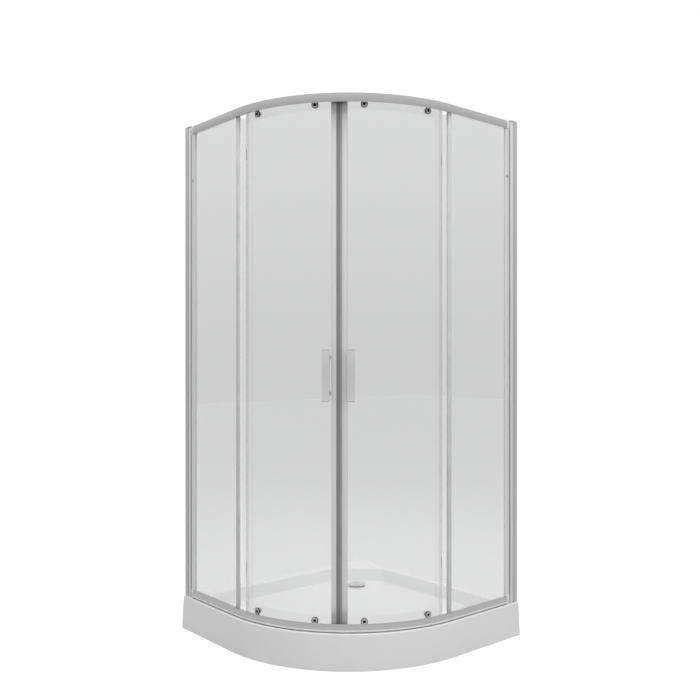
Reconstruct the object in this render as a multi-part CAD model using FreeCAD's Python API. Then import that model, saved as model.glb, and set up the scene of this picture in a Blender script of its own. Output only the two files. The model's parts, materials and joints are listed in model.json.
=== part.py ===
"""Quadrant shower enclosure: corner tray, two fixed panels and two curved sliding doors.

All sizes are millimetres.  The origin is the middle of the footprint on the floor, +Z is up.
The walls are the planes x = -tray_side / 2 and y = +tray_side / 2, and the round front faces
+X and -Y.  The enclosure is symmetric about the vertical plane x + y = 0, so each left piece
is built once and its right twin is its mirror image.

Track coordinates are used for all that follows the frame: `run` is the distance along the
front from the point where the left straight side meets the arc (positive towards the arc),
`offset` is the distance inwards from the outer face of the rails, and `height` is z.
"""
import FreeCAD, Part
import math
import os

V = FreeCAD.Vector
UP = V(0, 0, 1)

# ---------------------------------------------------------------- driving dimensions
# Overall
tray_side = 900.0            # length of the tray along each wall
tray_height = 120.0          # floor to the top of the tray's rim
front_radius = 550.0         # radius of the tray's round front at the floor
frame_height = 1775.0        # tray's rim to the top of the upper rail
profile_past_rail = 1.0      # wall profiles end above the upper rail
cap_height = 4.0             # cap on top of each wall profile
cap_plug = 10.0              # how far the cap's plug reaches into the stile

# Tray shell
skirt_draft = 7.0            # how far the front leans in from the floor to the rim
shell_wall = 4.0
rim_round = 5.0
basin_depth = 50.0
basin_wall_inset = 50.0      # basin's edge in from each wall
basin_front_inset = 68.0     # basin's edge in from the front outline
basin_slope = 20.0           # how far the basin's sides lean in
basin_corner_round = 46.0
basin_back_cut = 150.0       # leg of the slanted back corner of the basin
basin_floor_round = 13.0
basin_edge_round = 5.0
tray_corner_round = 3.0
wall_lip_height = 38.0       # down-turned rim along the walls

# Tray support
board_thickness = 16.0
board_inset = 34.0           # board's edge in from the basin's floor edge
board_drain_radius = 62.0
foot_pad_radius = 22.0
foot_pad_height = 8.0
foot_stud_radius = 5.0
foot_stud_grip = 11.0        # stud's length inside the board
foot_hole_clearance = 0.3
foot_nut_width = 17.0
foot_nut_height = 8.0
foot_side_inset = 120.0      # outer feet in from the wall or the front
foot_row_near_drain = 330.0  # feet along a wall beside the drain, from the back corner

# Drain and trap
drain_from_walls = 188.0
drain_hole_radius = 33.0
flange_radius = 40.0
flange_height = 2.5
flange_bore_radius = 29.0
flange_sleeve_length = 16.0
flange_sleeve_clearance = 1.0
cover_radius = 36.0
cover_gap = 2.5              # slot for the water between flange and cover
cover_thickness = 1.6
cover_crown = 2.6
cover_stem_radius = 8.0
cup_wall = 1.6
cup_clearance = 0.4
cup_depth = 46.0
trap_radius = 46.0
trap_wall = 3.0
trap_floor_gap = 8.0
gasket_thickness = 2.0
outlet_radius = 20.0
outlet_wall = 2.5
outlet_height = 34.0         # middle of the outlet pipe above the floor
outlet_wall_gap = 20.0       # pipe's end from the wall
outlet_nut_radius = 27.0
outlet_nut_length = 22.0
outlet_spigot_wall = 2.0     # how much the spigot under the nut is thicker than the pipe
outlet_spigot_past_nut = 1.0

# Rails
rail_setback = 15.0          # rail's face in from the tray's outline at the floor
rail_height = 30.0
rail_depth = 50.0
rail_flange = 1.8
rail_wall = 1.8
rail_bulge = 1.8
rail_shadow_gap = 3.0        # recess between the rail's face and what it stands on
rib_thickness = 1.4
slot_outer_rib_height = 10.0
track_height = 18.5          # running face of the track above the rail's flange
track_thickness = 1.5
track_edge = 28.0            # offset of the track's free edge
inner_lip_height = 5.0

# Fixed panels
glass_thickness = 5.0
fixed_glass_offset = 6.5
glazing_wall = 1.1           # rubber between glass and rail
glazing_seat = 1.5
glazing_height = 11.0
edge_strip_width = 16.0      # strip on the free edge of the fixed glass
edge_strip_past_arc = 14.0   # strip's free edge past the start of the arc
edge_strip_wall = 0.8
edge_strip_grip = 12.0
edge_fin_offset = 15.0

# Wall profiles and stiles
wall_profile_width = 20.0    # visible face along the front
wall_profile_depth = 28.0
wall_profile_wall = 1.5
wall_profile_back = 2.0
wall_hole_radius = 3.0
wall_holes = 4
wall_hole_bottom = 150.0     # lowest hole above the tray's rim
wall_hole_top = 145.0        # highest hole below the upper rail's top
stile_adjustment = 4.0       # room behind the side stile to make up a wall out of true
stile_clearance = 0.3
stile_wall = 1.5
stile_face_end = 36.0        # from the wall to the end of the stile's visible face
stile_groove_depth = 7.2
stile_end = 46.0             # from the wall to the face that the rails butt against
stile_screw_count = 3
stile_screw_bottom = 100.0   # lowest screw above the tray's rim
stile_screw_top = 195.0      # highest screw below the upper rail's top
glass_stile_width = 18.0
glass_stile_face_offset = 1.0
glass_stile_depth = 16.0
glass_stile_grip = 13.0
glass_stile_back_lip = 5.0   # reach of the shorter lip behind the glass
clamp_screw_drop = 205.0     # below the upper rail's top
clamp_screw_radius = 1.6
clamp_screw_head_radius = 5.4
clamp_screw_head = 2.0
stile_screw_radius = 1.8
stile_screw_head_radius = 3.6
stile_screw_length = 9.0
screw_clearance = 0.1

# Rail end pieces
rail_end_length = 12.0
rail_end_round = 5.0
rail_end_tongue = 20.0
rail_end_clearance = 0.3
rail_end_screw_offset = 20.0
rail_end_screw_radius = 1.6
rail_end_screw_depth = 17.0  # into the end piece
rail_end_screw_head = 2.2
rail_end_screw_head_radius = 3.2

# Doors
door_glass_offset = 41.0     # outer face of the door glass
door_edge_height = 11.0      # glass edge above the rail's flange
door_tail_run = 9.0          # tail edge of the glass past the start of the arc
closing_gap = 0.3            # between the two magnetic strips
magnet_width = 10.0          # from the closing line to the closing stile
magnet_depth = 9.0
closing_stile_width = 17.0
closing_stile_depth = 12.0
closing_stile_clearance = 0.2
tail_seal_width = 12.0
tail_seal_wall = 1.5
tail_fin_offset = 20.0
tail_fin_thickness = 1.4
tail_fin_bow = 3.2

# Door handles
handle_length = 172.0
handle_width = 25.0
handle_thickness = 6.0
handle_face_offset = 3.0
handle_from_closing = 42.0
handle_middle = 845.0        # above the tray's rim
handle_post_spacing = 120.0
handle_post_radius = 7.0
handle_screw_radius = 3.0
handle_hole_radius = 4.5
handle_cap_radius = 10.0
handle_cap_depth = 5.0
handle_washer = 0.8

# Rollers
rear_roller_angle = 8.5      # degrees round the arc, seen from its centre
front_roller_angle = 35.4
door_travel = 230.0          # of the rollers along the track
hub_height = 26.0            # hub's middle above the rail's flange
hub_radius = 12.0
arm_end_radius = 5.0
plate_thickness = 3.0
hub_washer_radius = 9.0
hub_washer = 1.0
glass_hole_radius = 5.0
hub_bolt_radius = 3.0
hub_socket_radius = 5.0
hub_socket_depth = 1.8
inner_cap_radius = 10.0
inner_cap_depth = 8.0
wheel_radius = 7.6
wheel_width = 8.0
wheel_bore_radius = 2.05
wheel_track_gap = 0.3
wheel_face_gap = 0.3
wheel_offset = 23.6          # outer face of the wheel
pin_radius = 2.0
pin_head_radius = 3.2
pin_head_thickness = 1.1
boss_radius = 3.5
stop_length = 10.0
stop_gap = 0.4

# ---------------------------------------------------------------- derived places
half = tray_side / 2
straight = tray_side - front_radius
centre = V(-half + straight, half - straight, 0)
tangent_run = V(-half + straight, -half + rail_setback, 0)
face_radius = front_radius - rail_setback
wall_run = -straight
stile_run = wall_run + stile_end
rail_start = stile_run + rail_end_length
rim_z = tray_height
rail_top_z = tray_height + frame_height
profile_height = frame_height + profile_past_rail
profile_top_z = tray_height + profile_height
clamp_screw_height = frame_height - clamp_screw_drop
closing_angle = 45.0
slot_outer_face = fixed_glass_offset - glazing_wall
slot_inner_face = fixed_glass_offset + glass_thickness + glazing_wall
track_root = slot_inner_face + rib_thickness
floor_z = tray_height - basin_depth
drain = V(-half + drain_from_walls, half - drain_from_walls, 0)
door_glass_inner = door_glass_offset + glass_thickness
door_mid_radius = face_radius - door_glass_offset - glass_thickness / 2
wheel_mid_offset = wheel_offset + wheel_width / 2
wheel_path_radius = face_radius - wheel_mid_offset
axle_height = track_height - wheel_track_gap - wheel_radius
plate_offset = door_glass_offset - hub_washer - plate_thickness
door_bottom_z = rim_z + door_edge_height
door_top_z = rail_top_z - door_edge_height

RAILS = {"bottom": (rim_z, 1), "top": (rail_top_z, -1)}


# ---------------------------------------------------------------- helpers
def track(run, offset, z):
    """Point in track coordinates, on the straight line through the arc's start."""
    return tangent_run + V(run, offset, z)


def rail_z(rail, height):
    """Height z of a level measured from the rail's flange towards the door."""
    flange_z, way = RAILS[rail]
    return flange_z + way * height


def swung(shape, degrees):
    """Copy of a shape built at the arc's start, moved round the arc."""
    copy = shape.copy()
    copy.rotate(centre, UP, degrees)
    return copy


def mirrored(shape):
    """The right-hand twin of a left-hand shape."""
    return shape.mirror(V(0, 0, 0), V(1, 1, 0))


def spaced(count, first, last):
    """Evenly spaced values from first to last."""
    return [first + (last - first) * index / (count - 1) for index in range(count)]


def joined(shapes):
    whole = shapes[0]
    for shape in shapes[1:]:
        whole = whole.fuse(shape)
    return whole.removeSplitter()


def loop(steps):
    """Closed wire: a point is the end of a line, a pair (through, end) is an arc."""
    edges = []
    here = steps[0]
    for step in list(steps[1:]) + [steps[0]]:
        if isinstance(step, tuple):
            through, end = step
            edges.append(Part.Arc(here, through, end).toShape())
            here = end
        elif (step - here).Length > 1e-7:
            edges.append(Part.LineSegment(here, step).toShape())
            here = step
    return Part.Wire(edges)


def prism(steps, sweep):
    return Part.Face(loop(steps)).extrude(sweep)


def box(low, high):
    size = high - low
    return Part.makeBox(size.x, size.y, size.z, low)


def track_box(runs, offsets, heights):
    return box(track(runs[0], offsets[0], heights[0]), track(runs[1], offsets[1], heights[1]))


def ring_sector(offsets, angles, heights):
    """Block between two offsets, two angles round the arc and two heights."""
    low = track(0, offsets[0], heights[0])
    face = Part.Face(loop([
        low,
        track(0, offsets[1], heights[0]),
        track(0, offsets[1], heights[1]),
        track(0, offsets[0], heights[1]),
    ]))
    sector = face.revolve(centre, UP, angles[1] - angles[0])
    return swung(sector, angles[0])


def pin(radius, offsets, run, z):
    """Cylinder that points inwards, square to the front, at the arc's start."""
    base = track(run, offsets[0], z)
    return Part.makeCylinder(radius, offsets[1] - offsets[0], base, V(0, 1, 0))


def turned(profile, base, axis=UP):
    """Solid of revolution from (radius, height) points, along an axis from base."""
    points = [V(radius, 0, height) for radius, height in profile]
    solid = Part.Face(loop(points)).revolve(V(0, 0, 0), UP, 360)
    turn = FreeCAD.Rotation(UP, axis)
    solid.Placement = FreeCAD.Placement(base, turn)
    return solid


def hexagon(width, base, height):
    corner = width / math.sqrt(3)
    points = []
    for step in range(6):
        angle = math.radians(60 * step)
        points.append(base + V(corner * math.cos(angle), corner * math.sin(angle), 0))
    return prism(points, V(0, 0, height))


def rounded_loop(corners, z):
    """Closed wire through corners (x, y, radius), each corner rounded by a tangent arc."""
    steps = []
    count = len(corners)
    for index, (x, y, radius) in enumerate(corners):
        corner = V(x, y, z)
        before = V(corners[index - 1][0], corners[index - 1][1], z)
        after = V(corners[(index + 1) % count][0], corners[(index + 1) % count][1], z)
        back = (before - corner).normalize()
        ahead = (after - corner).normalize()
        half_corner = back.getAngle(ahead) / 2
        reach = radius / math.tan(half_corner)
        middle = (back + ahead).normalize()
        nearest = radius / math.sin(half_corner) - radius
        start = corner + back * reach
        end = corner + ahead * reach
        steps.append(start)
        steps.append((corner + middle * nearest, end))
    return loop(steps)


def tray_corners(front, wall, corner_round, back_cut):
    """Corners of the quadrant outline, set in from the front and from the walls."""
    left = -half + wall
    back = half - wall
    low = -half + front
    right = half - front
    corners = [
        (left, low, corner_round),
        (right, low, front_radius - front),
        (right, back, corner_round),
    ]
    if back_cut:
        corners.append((left + back_cut, back, corner_round))
        corners.append((left, back - back_cut, corner_round))
    else:
        corners.append((left, back, corner_round))
    return corners


def tapered(lower, lower_z, upper, upper_z):
    """Solid between two quadrant outlines, each given as arguments of tray_corners."""
    wires = [rounded_loop(tray_corners(*lower), lower_z), rounded_loop(tray_corners(*upper), upper_z)]
    return Part.makeLoft(wires, True, True)


def level_edges(shape, z, wanted):
    """Edges that lie at one height and whose middle passes a test."""
    found = []
    for edge in shape.Edges:
        bounds = edge.BoundBox
        middle = edge.valueAt((edge.FirstParameter + edge.LastParameter) / 2)
        if abs(bounds.ZMin - z) < 0.01 and abs(bounds.ZMax - z) < 0.01 and wanted(middle):
            found.append(edge)
    return found


# ---------------------------------------------------------------- tray
def basin(grow, depth, above):
    """The hollow of the basin, or its outer skin when grow is the wall thickness."""
    floor_wall = basin_wall_inset + basin_slope - grow
    floor_front = basin_front_inset + basin_slope - grow
    lean = basin_slope / basin_depth
    rise = above * lean
    lower = (floor_front, floor_wall, basin_corner_round, basin_back_cut)
    upper_front = basin_front_inset - grow - rise
    upper_wall = basin_wall_inset - grow - rise
    upper = (upper_front, upper_wall, basin_corner_round + basin_slope, basin_back_cut)
    solid = tapered(lower, rim_z - depth, upper, rim_z + above)
    bottom = level_edges(solid, rim_z - depth, lambda middle: True)
    return solid.makeFillet(basin_floor_round, bottom)


def tray_shell():
    small = tray_corner_round
    outer = tapered((0, 0, small, 0), 0, (skirt_draft, 0, small, 0), rim_z)
    front_rim = level_edges(
        outer, rim_z,
        lambda middle: middle.x > -half + small and middle.y < half - small,
    )
    outer = outer.makeFillet(rim_round, front_rim)
    wall = shell_wall
    room = tapered((wall, wall, small, 0), -1, (skirt_draft + wall, wall, small, 0), rim_z - wall)
    shell = outer.cut(room)
    skin = basin(wall, basin_depth + wall, 0)
    shell = shell.fuse(skin)
    shell = shell.cut(basin(0, basin_depth, 0))
    lip_z = rim_z - wall_lip_height
    inside = wall + small
    left_opening = box(V(-half - 1, -half + inside + 5, -1), V(-half + inside, half + 1, lip_z))
    back_opening = box(V(-half - 1, half - inside, -1), V(half - inside - 5, half + 1, lip_z))
    shell = shell.cut(left_opening).cut(back_opening)
    below = V(drain.x, drain.y, floor_z - shell_wall - 1)
    shell = shell.cut(Part.makeCylinder(drain_hole_radius, shell_wall + 2, below))
    edge = level_edges(
        shell, rim_z,
        lambda middle: (
            middle.x > -half + basin_wall_inset / 2
            and middle.y < half - basin_wall_inset / 2
            and (middle.x < centre.x or middle.y > centre.y
                 or (middle - V(centre.x, centre.y, rim_z)).Length < front_radius - basin_front_inset / 2)
            and middle.y > -half + basin_front_inset / 2
            and middle.x < half - basin_front_inset / 2
        ),
    )
    return shell.makeFillet(basin_edge_round, edge)


def foot_places():
    near = foot_side_inset
    low = -half + near
    row = half - foot_row_near_drain
    front = face_radius / math.sqrt(2) * 0.62
    return [
        V(low, low + 30, 0),
        V(half - near - 30, half - near, 0),
        V(low, row, 0),
        V(-row, half - near, 0),
        V(centre.x + front, centre.y - front, 0),
        V(centre.x + 30, centre.y - 30, 0),
    ]


def tray_support():
    under = floor_z - shell_wall
    board_z = under - board_thickness
    front = basin_front_inset + basin_slope + board_inset
    wall = basin_wall_inset + basin_slope + board_inset
    outline = rounded_loop(tray_corners(front, wall, basin_corner_round, basin_back_cut), board_z)
    board = Part.Face(outline).extrude(V(0, 0, board_thickness))
    board = board.cut(Part.makeCylinder(board_drain_radius, board_thickness, V(drain.x, drain.y, board_z)))
    feet = []
    nuts = []
    for place in foot_places():
        hole_radius = foot_stud_radius + foot_hole_clearance
        board = board.cut(Part.makeCylinder(hole_radius, foot_stud_grip + 1, V(place.x, place.y, board_z)))
        feet.append(turned([
            (0, 0),
            (foot_pad_radius, 0),
            (foot_pad_radius, foot_pad_height / 2),
            (foot_pad_radius * 0.45, foot_pad_height),
            (foot_stud_radius, foot_pad_height),
            (foot_stud_radius, board_z + foot_stud_grip - 1),
            (foot_stud_radius - 1, board_z + foot_stud_grip),
            (0, board_z + foot_stud_grip),
        ], place))
        nut_z = board_z - foot_nut_height
        nut = hexagon(foot_nut_width, V(place.x, place.y, nut_z), foot_nut_height)
        bore = Part.makeCylinder(foot_stud_radius + 0.05, foot_nut_height, V(place.x, place.y, nut_z))
        nuts.append(nut.cut(bore))
    return board, Part.makeCompound(feet), Part.makeCompound(nuts)


def drain_pieces():
    sleeve = drain_hole_radius - flange_sleeve_clearance
    flange = turned([
        (flange_bore_radius, floor_z - flange_sleeve_length),
        (sleeve, floor_z - flange_sleeve_length),
        (sleeve, floor_z),
        (flange_radius, floor_z),
        (flange_radius - 1.2, floor_z + flange_height),
        (flange_bore_radius, floor_z + flange_height),
    ], drain)
    flange_top = floor_z + flange_height
    cup_outer = flange_bore_radius - cup_clearance
    bridge_z = flange_top - 6.0
    cup = turned([
        (cup_outer - cup_wall, flange_top - cup_depth),
        (cup_outer, flange_top - cup_depth),
        (cup_outer, flange_top),
        (cup_outer + cup_clearance + 3.0, flange_top),
        (cup_outer + cup_clearance + 3.0, flange_top + 0.8),
        (cup_outer - cup_wall, flange_top + 0.8),
    ], drain)
    bridge = box(
        V(drain.x - cup_outer + cup_wall / 2, drain.y - 3, bridge_z - 2),
        V(drain.x + cup_outer - cup_wall / 2, drain.y + 3, bridge_z),
    )
    hub = Part.makeCylinder(cover_stem_radius, 2, V(drain.x, drain.y, bridge_z - 2))
    cup = joined([cup, bridge, hub])
    cover_z = flange_top + 0.8 + cover_gap
    cover = turned([
        (0, bridge_z),
        (cover_stem_radius, bridge_z),
        (cover_stem_radius, cover_z),
        (cover_radius, cover_z),
        (cover_radius, cover_z + cover_thickness * 0.6),
        (cover_radius * 0.86, cover_z + cover_thickness + 0.5),
        (cover_radius * 0.45, cover_z + cover_crown + cover_thickness * 0.6),
        (0, cover_z + cover_thickness + cover_crown),
    ], drain)
    under = floor_z - shell_wall
    gasket = turned([
        (drain_hole_radius, under - gasket_thickness),
        (trap_radius - 2, under - gasket_thickness),
        (trap_radius - 2, under),
        (drain_hole_radius, under),
    ], drain)
    trap_top = under - gasket_thickness
    trap = turned([
        (0, trap_floor_gap),
        (trap_radius - 5, trap_floor_gap),
        (trap_radius, trap_floor_gap + 5),
        (trap_radius, trap_top),
        (drain_hole_radius, trap_top),
        (drain_hole_radius, trap_top - 4),
        (trap_radius - trap_wall, trap_top - 7),
        (trap_radius - trap_wall, trap_floor_gap + trap_wall + 2),
        (0, trap_floor_gap + trap_wall),
    ], drain)
    pipe_base = V(drain.x - trap_radius + trap_wall, drain.y, outlet_height)
    pipe_length = pipe_base.x - (-half + outlet_wall_gap)
    away = V(-1, 0, 0)
    pipe = Part.makeCylinder(outlet_radius, pipe_length, pipe_base, away)
    bore_start = pipe_base + V(trap_wall + 1, 0, 0)
    bore = Part.makeCylinder(outlet_radius - outlet_wall, pipe_length + trap_wall + 2, bore_start, away)
    inside = Part.makeCylinder(trap_radius - trap_wall, trap_top, V(drain.x, drain.y, 0))
    nut_start = V(drain.x - trap_radius - 3, drain.y, outlet_height)
    spigot_radius = outlet_radius + outlet_spigot_wall
    spigot_end = nut_start.x - outlet_nut_length - outlet_spigot_past_nut
    spigot = Part.makeCylinder(spigot_radius, pipe_base.x - spigot_end, pipe_base, away)
    trap = joined([trap, pipe.cut(inside), spigot.cut(inside)]).cut(bore)
    nut = turned([
        (spigot_radius + 0.1, 0),
        (outlet_nut_radius, 0),
        (outlet_nut_radius, outlet_nut_length - 3),
        (outlet_nut_radius - 3, outlet_nut_length),
        (spigot_radius + 0.1, outlet_nut_length),
    ], nut_start, away)
    for step in range(8):
        rib = box(
            V(nut_start.x - outlet_nut_length + 4, drain.y - 1.5, outlet_height + outlet_nut_radius - 0.6),
            V(nut_start.x, drain.y + 1.5, outlet_height + outlet_nut_radius + 1.2),
        )
        rib.rotate(nut_start, away, 45 * step + 22.5)
        nut = nut.fuse(rib)
    return {
        "drain_flange": flange,
        "drain_cup": cup,
        "drain_cover": cover,
        "trap_gasket": gasket,
        "trap_body": trap,
        "trap_outlet_nut": nut,
    }


# ---------------------------------------------------------------- frame
def wall_hole_heights():
    return spaced(wall_holes, wall_hole_bottom, frame_height - wall_hole_top)


def stile_screw_heights():
    return spaced(stile_screw_count, stile_screw_bottom, frame_height - stile_screw_top)


def rail_section(rail, run):
    """Cross-section of the rail: face, glazing slot, wheel track, flange and inner lip."""
    def at(offset, height):
        return track(run, offset, rail_z(rail, height))

    rib_start = slot_outer_face - rib_thickness
    web_height = rail_shadow_gap + rail_wall
    middle = (rail_height + rail_shadow_gap) / 2
    return Part.Face(loop([
        at(rail_shadow_gap, 0),
        at(rail_depth, 0),
        at(rail_depth, inner_lip_height),
        at(rail_depth - rib_thickness, inner_lip_height),
        at(rail_depth - rib_thickness, rail_flange),
        at(track_root, rail_flange),
        at(track_root, track_height),
        at(track_edge, track_height),
        at(track_edge, track_height + track_thickness),
        at(slot_inner_face, track_height + track_thickness),
        at(slot_inner_face, rail_flange),
        at(slot_outer_face, rail_flange),
        at(slot_outer_face, slot_outer_rib_height),
        at(rib_start, slot_outer_rib_height),
        at(rib_start, web_height),
        at(rail_wall, web_height),
        (at(rail_wall - rail_bulge, middle), at(rail_wall, rail_height)),
        at(0, rail_height),
        (at(-rail_bulge, middle), at(0, rail_shadow_gap)),
        at(rail_shadow_gap, rail_shadow_gap),
    ]))


def rail(name):
    start = rail_section(name, rail_start)
    left_side = start.extrude(V(-rail_start, 0, 0))
    bend = rail_section(name, 0).revolve(centre, UP, 90)
    return joined([left_side, bend, mirrored(left_side)])


def rail_end(name):
    """Moulded piece between the side stile and the end of a rail."""
    low = min(rail_z(name, 0), rail_z(name, rail_height))
    block = track_box(
        (stile_run, rail_start), (-rail_bulge, rail_depth), (low, low + rail_height),
    )
    corner = [
        edge for edge in block.Edges
        if edge.BoundBox.ZLength > rail_height / 2
        and abs(edge.BoundBox.YMin - (tangent_run.y - rail_bulge)) < 0.01
    ]
    block = block.makeFillet(rail_end_round, corner)
    glass_slot = (fixed_glass_offset - rail_end_clearance,
                  fixed_glass_offset + glass_thickness + rail_end_clearance)
    slot_heights = sorted((rail_z(name, glazing_seat + rail_flange), rail_z(name, rail_height + 1)))
    block = block.cut(track_box((stile_run - 1, rail_start + 1), glass_slot, slot_heights))
    tongue_heights = sorted((
        rail_z(name, rail_flange + rail_end_clearance),
        rail_z(name, track_height - rail_end_clearance),
    ))
    tongue = track_box(
        (rail_start - 1, rail_start + rail_end_tongue),
        (track_root + rail_end_clearance, track_edge),
        tongue_heights,
    )
    piece = joined([block, tongue])
    for height in rail_end_screw_heights():
        start = track(stile_run, rail_end_screw_offset, rail_z(name, height))
        radius = rail_end_screw_radius + screw_clearance
        piece = piece.cut(Part.makeCylinder(radius, rail_end_screw_depth + 1, start, V(1, 0, 0)))
    return piece


def rail_end_screw_heights():
    return (rail_flange + 4.5, track_height - 3.5)


def rail_end_screws(name):
    screws = []
    for height in rail_end_screw_heights():
        start = track(stile_run - stile_wall, rail_end_screw_offset, rail_z(name, height))
        screws.append(turned([
            (0, -rail_end_screw_head),
            (rail_end_screw_head_radius - 0.8, -rail_end_screw_head),
            (rail_end_screw_head_radius, 0),
            (rail_end_screw_radius, 0),
            (rail_end_screw_radius, stile_wall + rail_end_screw_depth - 2),
            (0, stile_wall + rail_end_screw_depth),
        ], start, V(1, 0, 0)))
    return screws


def wall_profile():
    """Channel screwed to the wall; the side stile slides in it to make up the fit."""
    outer = track_box(
        (wall_run, wall_run + wall_profile_width), (0, wall_profile_depth), (rim_z, profile_top_z),
    )
    room = track_box(
        (wall_run + wall_profile_back, wall_run + wall_profile_width + 1),
        (wall_profile_wall, wall_profile_depth - wall_profile_wall),
        (rim_z - 1, profile_top_z + 1),
    )
    channel = outer.cut(room)
    for height in wall_hole_heights():
        middle = track(wall_run - 1, wall_profile_depth / 2, rim_z + height)
        channel = channel.cut(Part.makeCylinder(wall_hole_radius, wall_profile_back + 2, middle, V(1, 0, 0)))
    for height in stile_screw_heights():
        through = (wall_profile_depth - wall_profile_wall - 1, wall_profile_depth + 1)
        radius = stile_screw_radius + screw_clearance
        channel = channel.cut(pin(radius, through, wall_run + wall_profile_width / 2, rim_z + height))
    return channel


def side_stile():
    back = wall_run + wall_profile_back + stile_adjustment
    front = wall_profile_wall + stile_clearance
    inner = wall_profile_depth - wall_profile_wall - stile_clearance
    face_end = wall_run + stile_face_end
    groove = front + stile_groove_depth

    def outline(shrink, z):
        return [
            track(back + shrink, front + shrink, z),
            track(face_end - shrink, front + shrink, z),
            track(face_end - shrink, groove + shrink, z),
            track(stile_run - shrink, groove + shrink, z),
            track(stile_run - shrink, inner - shrink, z),
            track(back + shrink, inner - shrink, z),
        ]

    solid = prism(outline(0, rim_z), V(0, 0, profile_height))
    hollow = prism(outline(stile_wall, rim_z - 1), V(0, 0, profile_height + 2))
    stile = solid.cut(hollow)
    for name in RAILS:
        for height in rail_end_screw_heights():
            start = track(stile_run - stile_wall - 1, rail_end_screw_offset, rail_z(name, height))
            radius = rail_end_screw_radius + screw_clearance
            stile = stile.cut(Part.makeCylinder(radius, stile_wall + 2, start, V(1, 0, 0)))
    for height in stile_screw_heights():
        through = (inner - stile_wall - 1, inner + 1)
        radius = stile_screw_radius + screw_clearance
        stile = stile.cut(pin(radius, through, wall_run + wall_profile_width / 2, rim_z + height))
    return stile


def stile_screws():
    """Screws that lock each side stile in its wall profile, from inside the enclosure."""
    screws = []
    inward = wall_profile_depth
    for height in stile_screw_heights():
        start = track(wall_run + wall_profile_width / 2, inward, rim_z + height)
        screws.append(turned([
            (0, -stile_screw_radius),
            (stile_screw_head_radius - 1.4, -stile_screw_radius),
            (stile_screw_head_radius, -0.8),
            (stile_screw_head_radius, 0),
            (stile_screw_radius, 0),
            (stile_screw_radius, stile_screw_length - 2),
            (0, stile_screw_length),
        ], start, V(0, -1, 0)))
    return screws


def profile_cap():
    """Moulded cap over the wall profile and stile, with a plug into the stile."""
    z = profile_top_z
    face_end = wall_run + stile_face_end
    top = cap_height
    solid = prism([
        track(wall_run, 0, z),
        track(face_end, 0, z),
        track(stile_run, wall_profile_depth / 3, z),
        track(stile_run, wall_profile_depth, z),
        track(wall_run, wall_profile_depth, z),
    ], V(0, 0, top))
    upper = level_edges(solid, z + top, lambda middle: middle.x > tangent_run.x + wall_run + 1)
    solid = solid.makeChamfer(1.5, upper)
    gap = stile_wall + 0.2
    side = wall_profile_wall + stile_clearance + gap
    plug = track_box(
        (wall_run + wall_profile_back + stile_adjustment + gap, face_end - gap),
        (side, wall_profile_depth - side),
        (z - cap_plug, z + 1),
    )
    return joined([solid, plug])


def glass_stile():
    """Upright that holds the wall edge of the fixed glass, between the two rails."""
    heights = (rim_z + rail_height, rail_top_z - rail_height)
    end = stile_run + glass_stile_width
    offsets = (glass_stile_face_offset, glass_stile_face_offset + glass_stile_depth)
    bar = track_box((stile_run, end), offsets, heights)
    front_edge = [
        edge for edge in bar.Edges
        if edge.BoundBox.ZLength > 100 and abs(edge.BoundBox.YMin - (tangent_run.y + offsets[0])) < 0.01
    ]
    bar = bar.makeFillet(1.5, front_edge)
    slot = track_box(
        (end - glass_stile_grip, end + 1),
        (fixed_glass_offset - rail_end_clearance, fixed_glass_offset + glass_thickness + rail_end_clearance),
        (heights[0] - 1, heights[1] + 1),
    )
    behind = track_box(
        (end - glass_stile_grip + glass_stile_back_lip, end + 1),
        (fixed_glass_offset + glass_thickness, offsets[1] + 1),
        (heights[0] - 1, heights[1] + 1),
    )
    bar = bar.cut(slot).cut(behind)
    radius = clamp_screw_radius + screw_clearance
    middle = stile_run + glass_stile_width / 2
    return bar.cut(pin(radius, (0, fixed_glass_offset), middle, rim_z + clamp_screw_height))


def clamp_screw():
    """Cross-recessed screw that the photograph shows on each glass stile."""
    start = track(stile_run + glass_stile_width / 2, glass_stile_face_offset, rim_z + clamp_screw_height)
    depth = fixed_glass_offset - glass_stile_face_offset - 0.6
    screw = turned([
        (0, -clamp_screw_head),
        (clamp_screw_head_radius - 2, -clamp_screw_head),
        (clamp_screw_head_radius, -0.6),
        (clamp_screw_head_radius, 0),
        (clamp_screw_radius, 0),
        (clamp_screw_radius, depth),
        (0, depth),
    ], start, V(0, 1, 0))
    for turn in (45, 135):
        slot = box(start + V(-3.2, -2.5, -0.5), start + V(3.2, -0.9, 0.5))
        slot.rotate(start, V(0, 1, 0), turn)
        screw = screw.cut(slot)
    return screw


def fixed_glass():
    low = rim_z + rail_flange + glazing_seat
    high = rail_top_z - rail_flange - glazing_seat
    start = stile_run + glass_stile_width - glass_stile_grip + 1
    end = edge_strip_past_arc - edge_strip_width + edge_strip_grip
    offsets = (fixed_glass_offset, fixed_glass_offset + glass_thickness)
    return track_box((start, end), offsets, (low, high))


def glazing_strip(name):
    """Rubber channel that seats the fixed glass in a rail."""
    offsets = (slot_outer_face, slot_inner_face)
    heights = sorted((rail_z(name, rail_flange), rail_z(name, glazing_height)))
    slot_heights = sorted((rail_z(name, rail_flange + glazing_seat), rail_z(name, glazing_height + 1)))
    end = edge_strip_past_arc - edge_strip_width
    strip = track_box((rail_start, end), offsets, heights)
    slot = track_box(
        (rail_start - 1, end + 1), (fixed_glass_offset, fixed_glass_offset + glass_thickness), slot_heights,
    )
    return strip.cut(slot)


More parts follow.
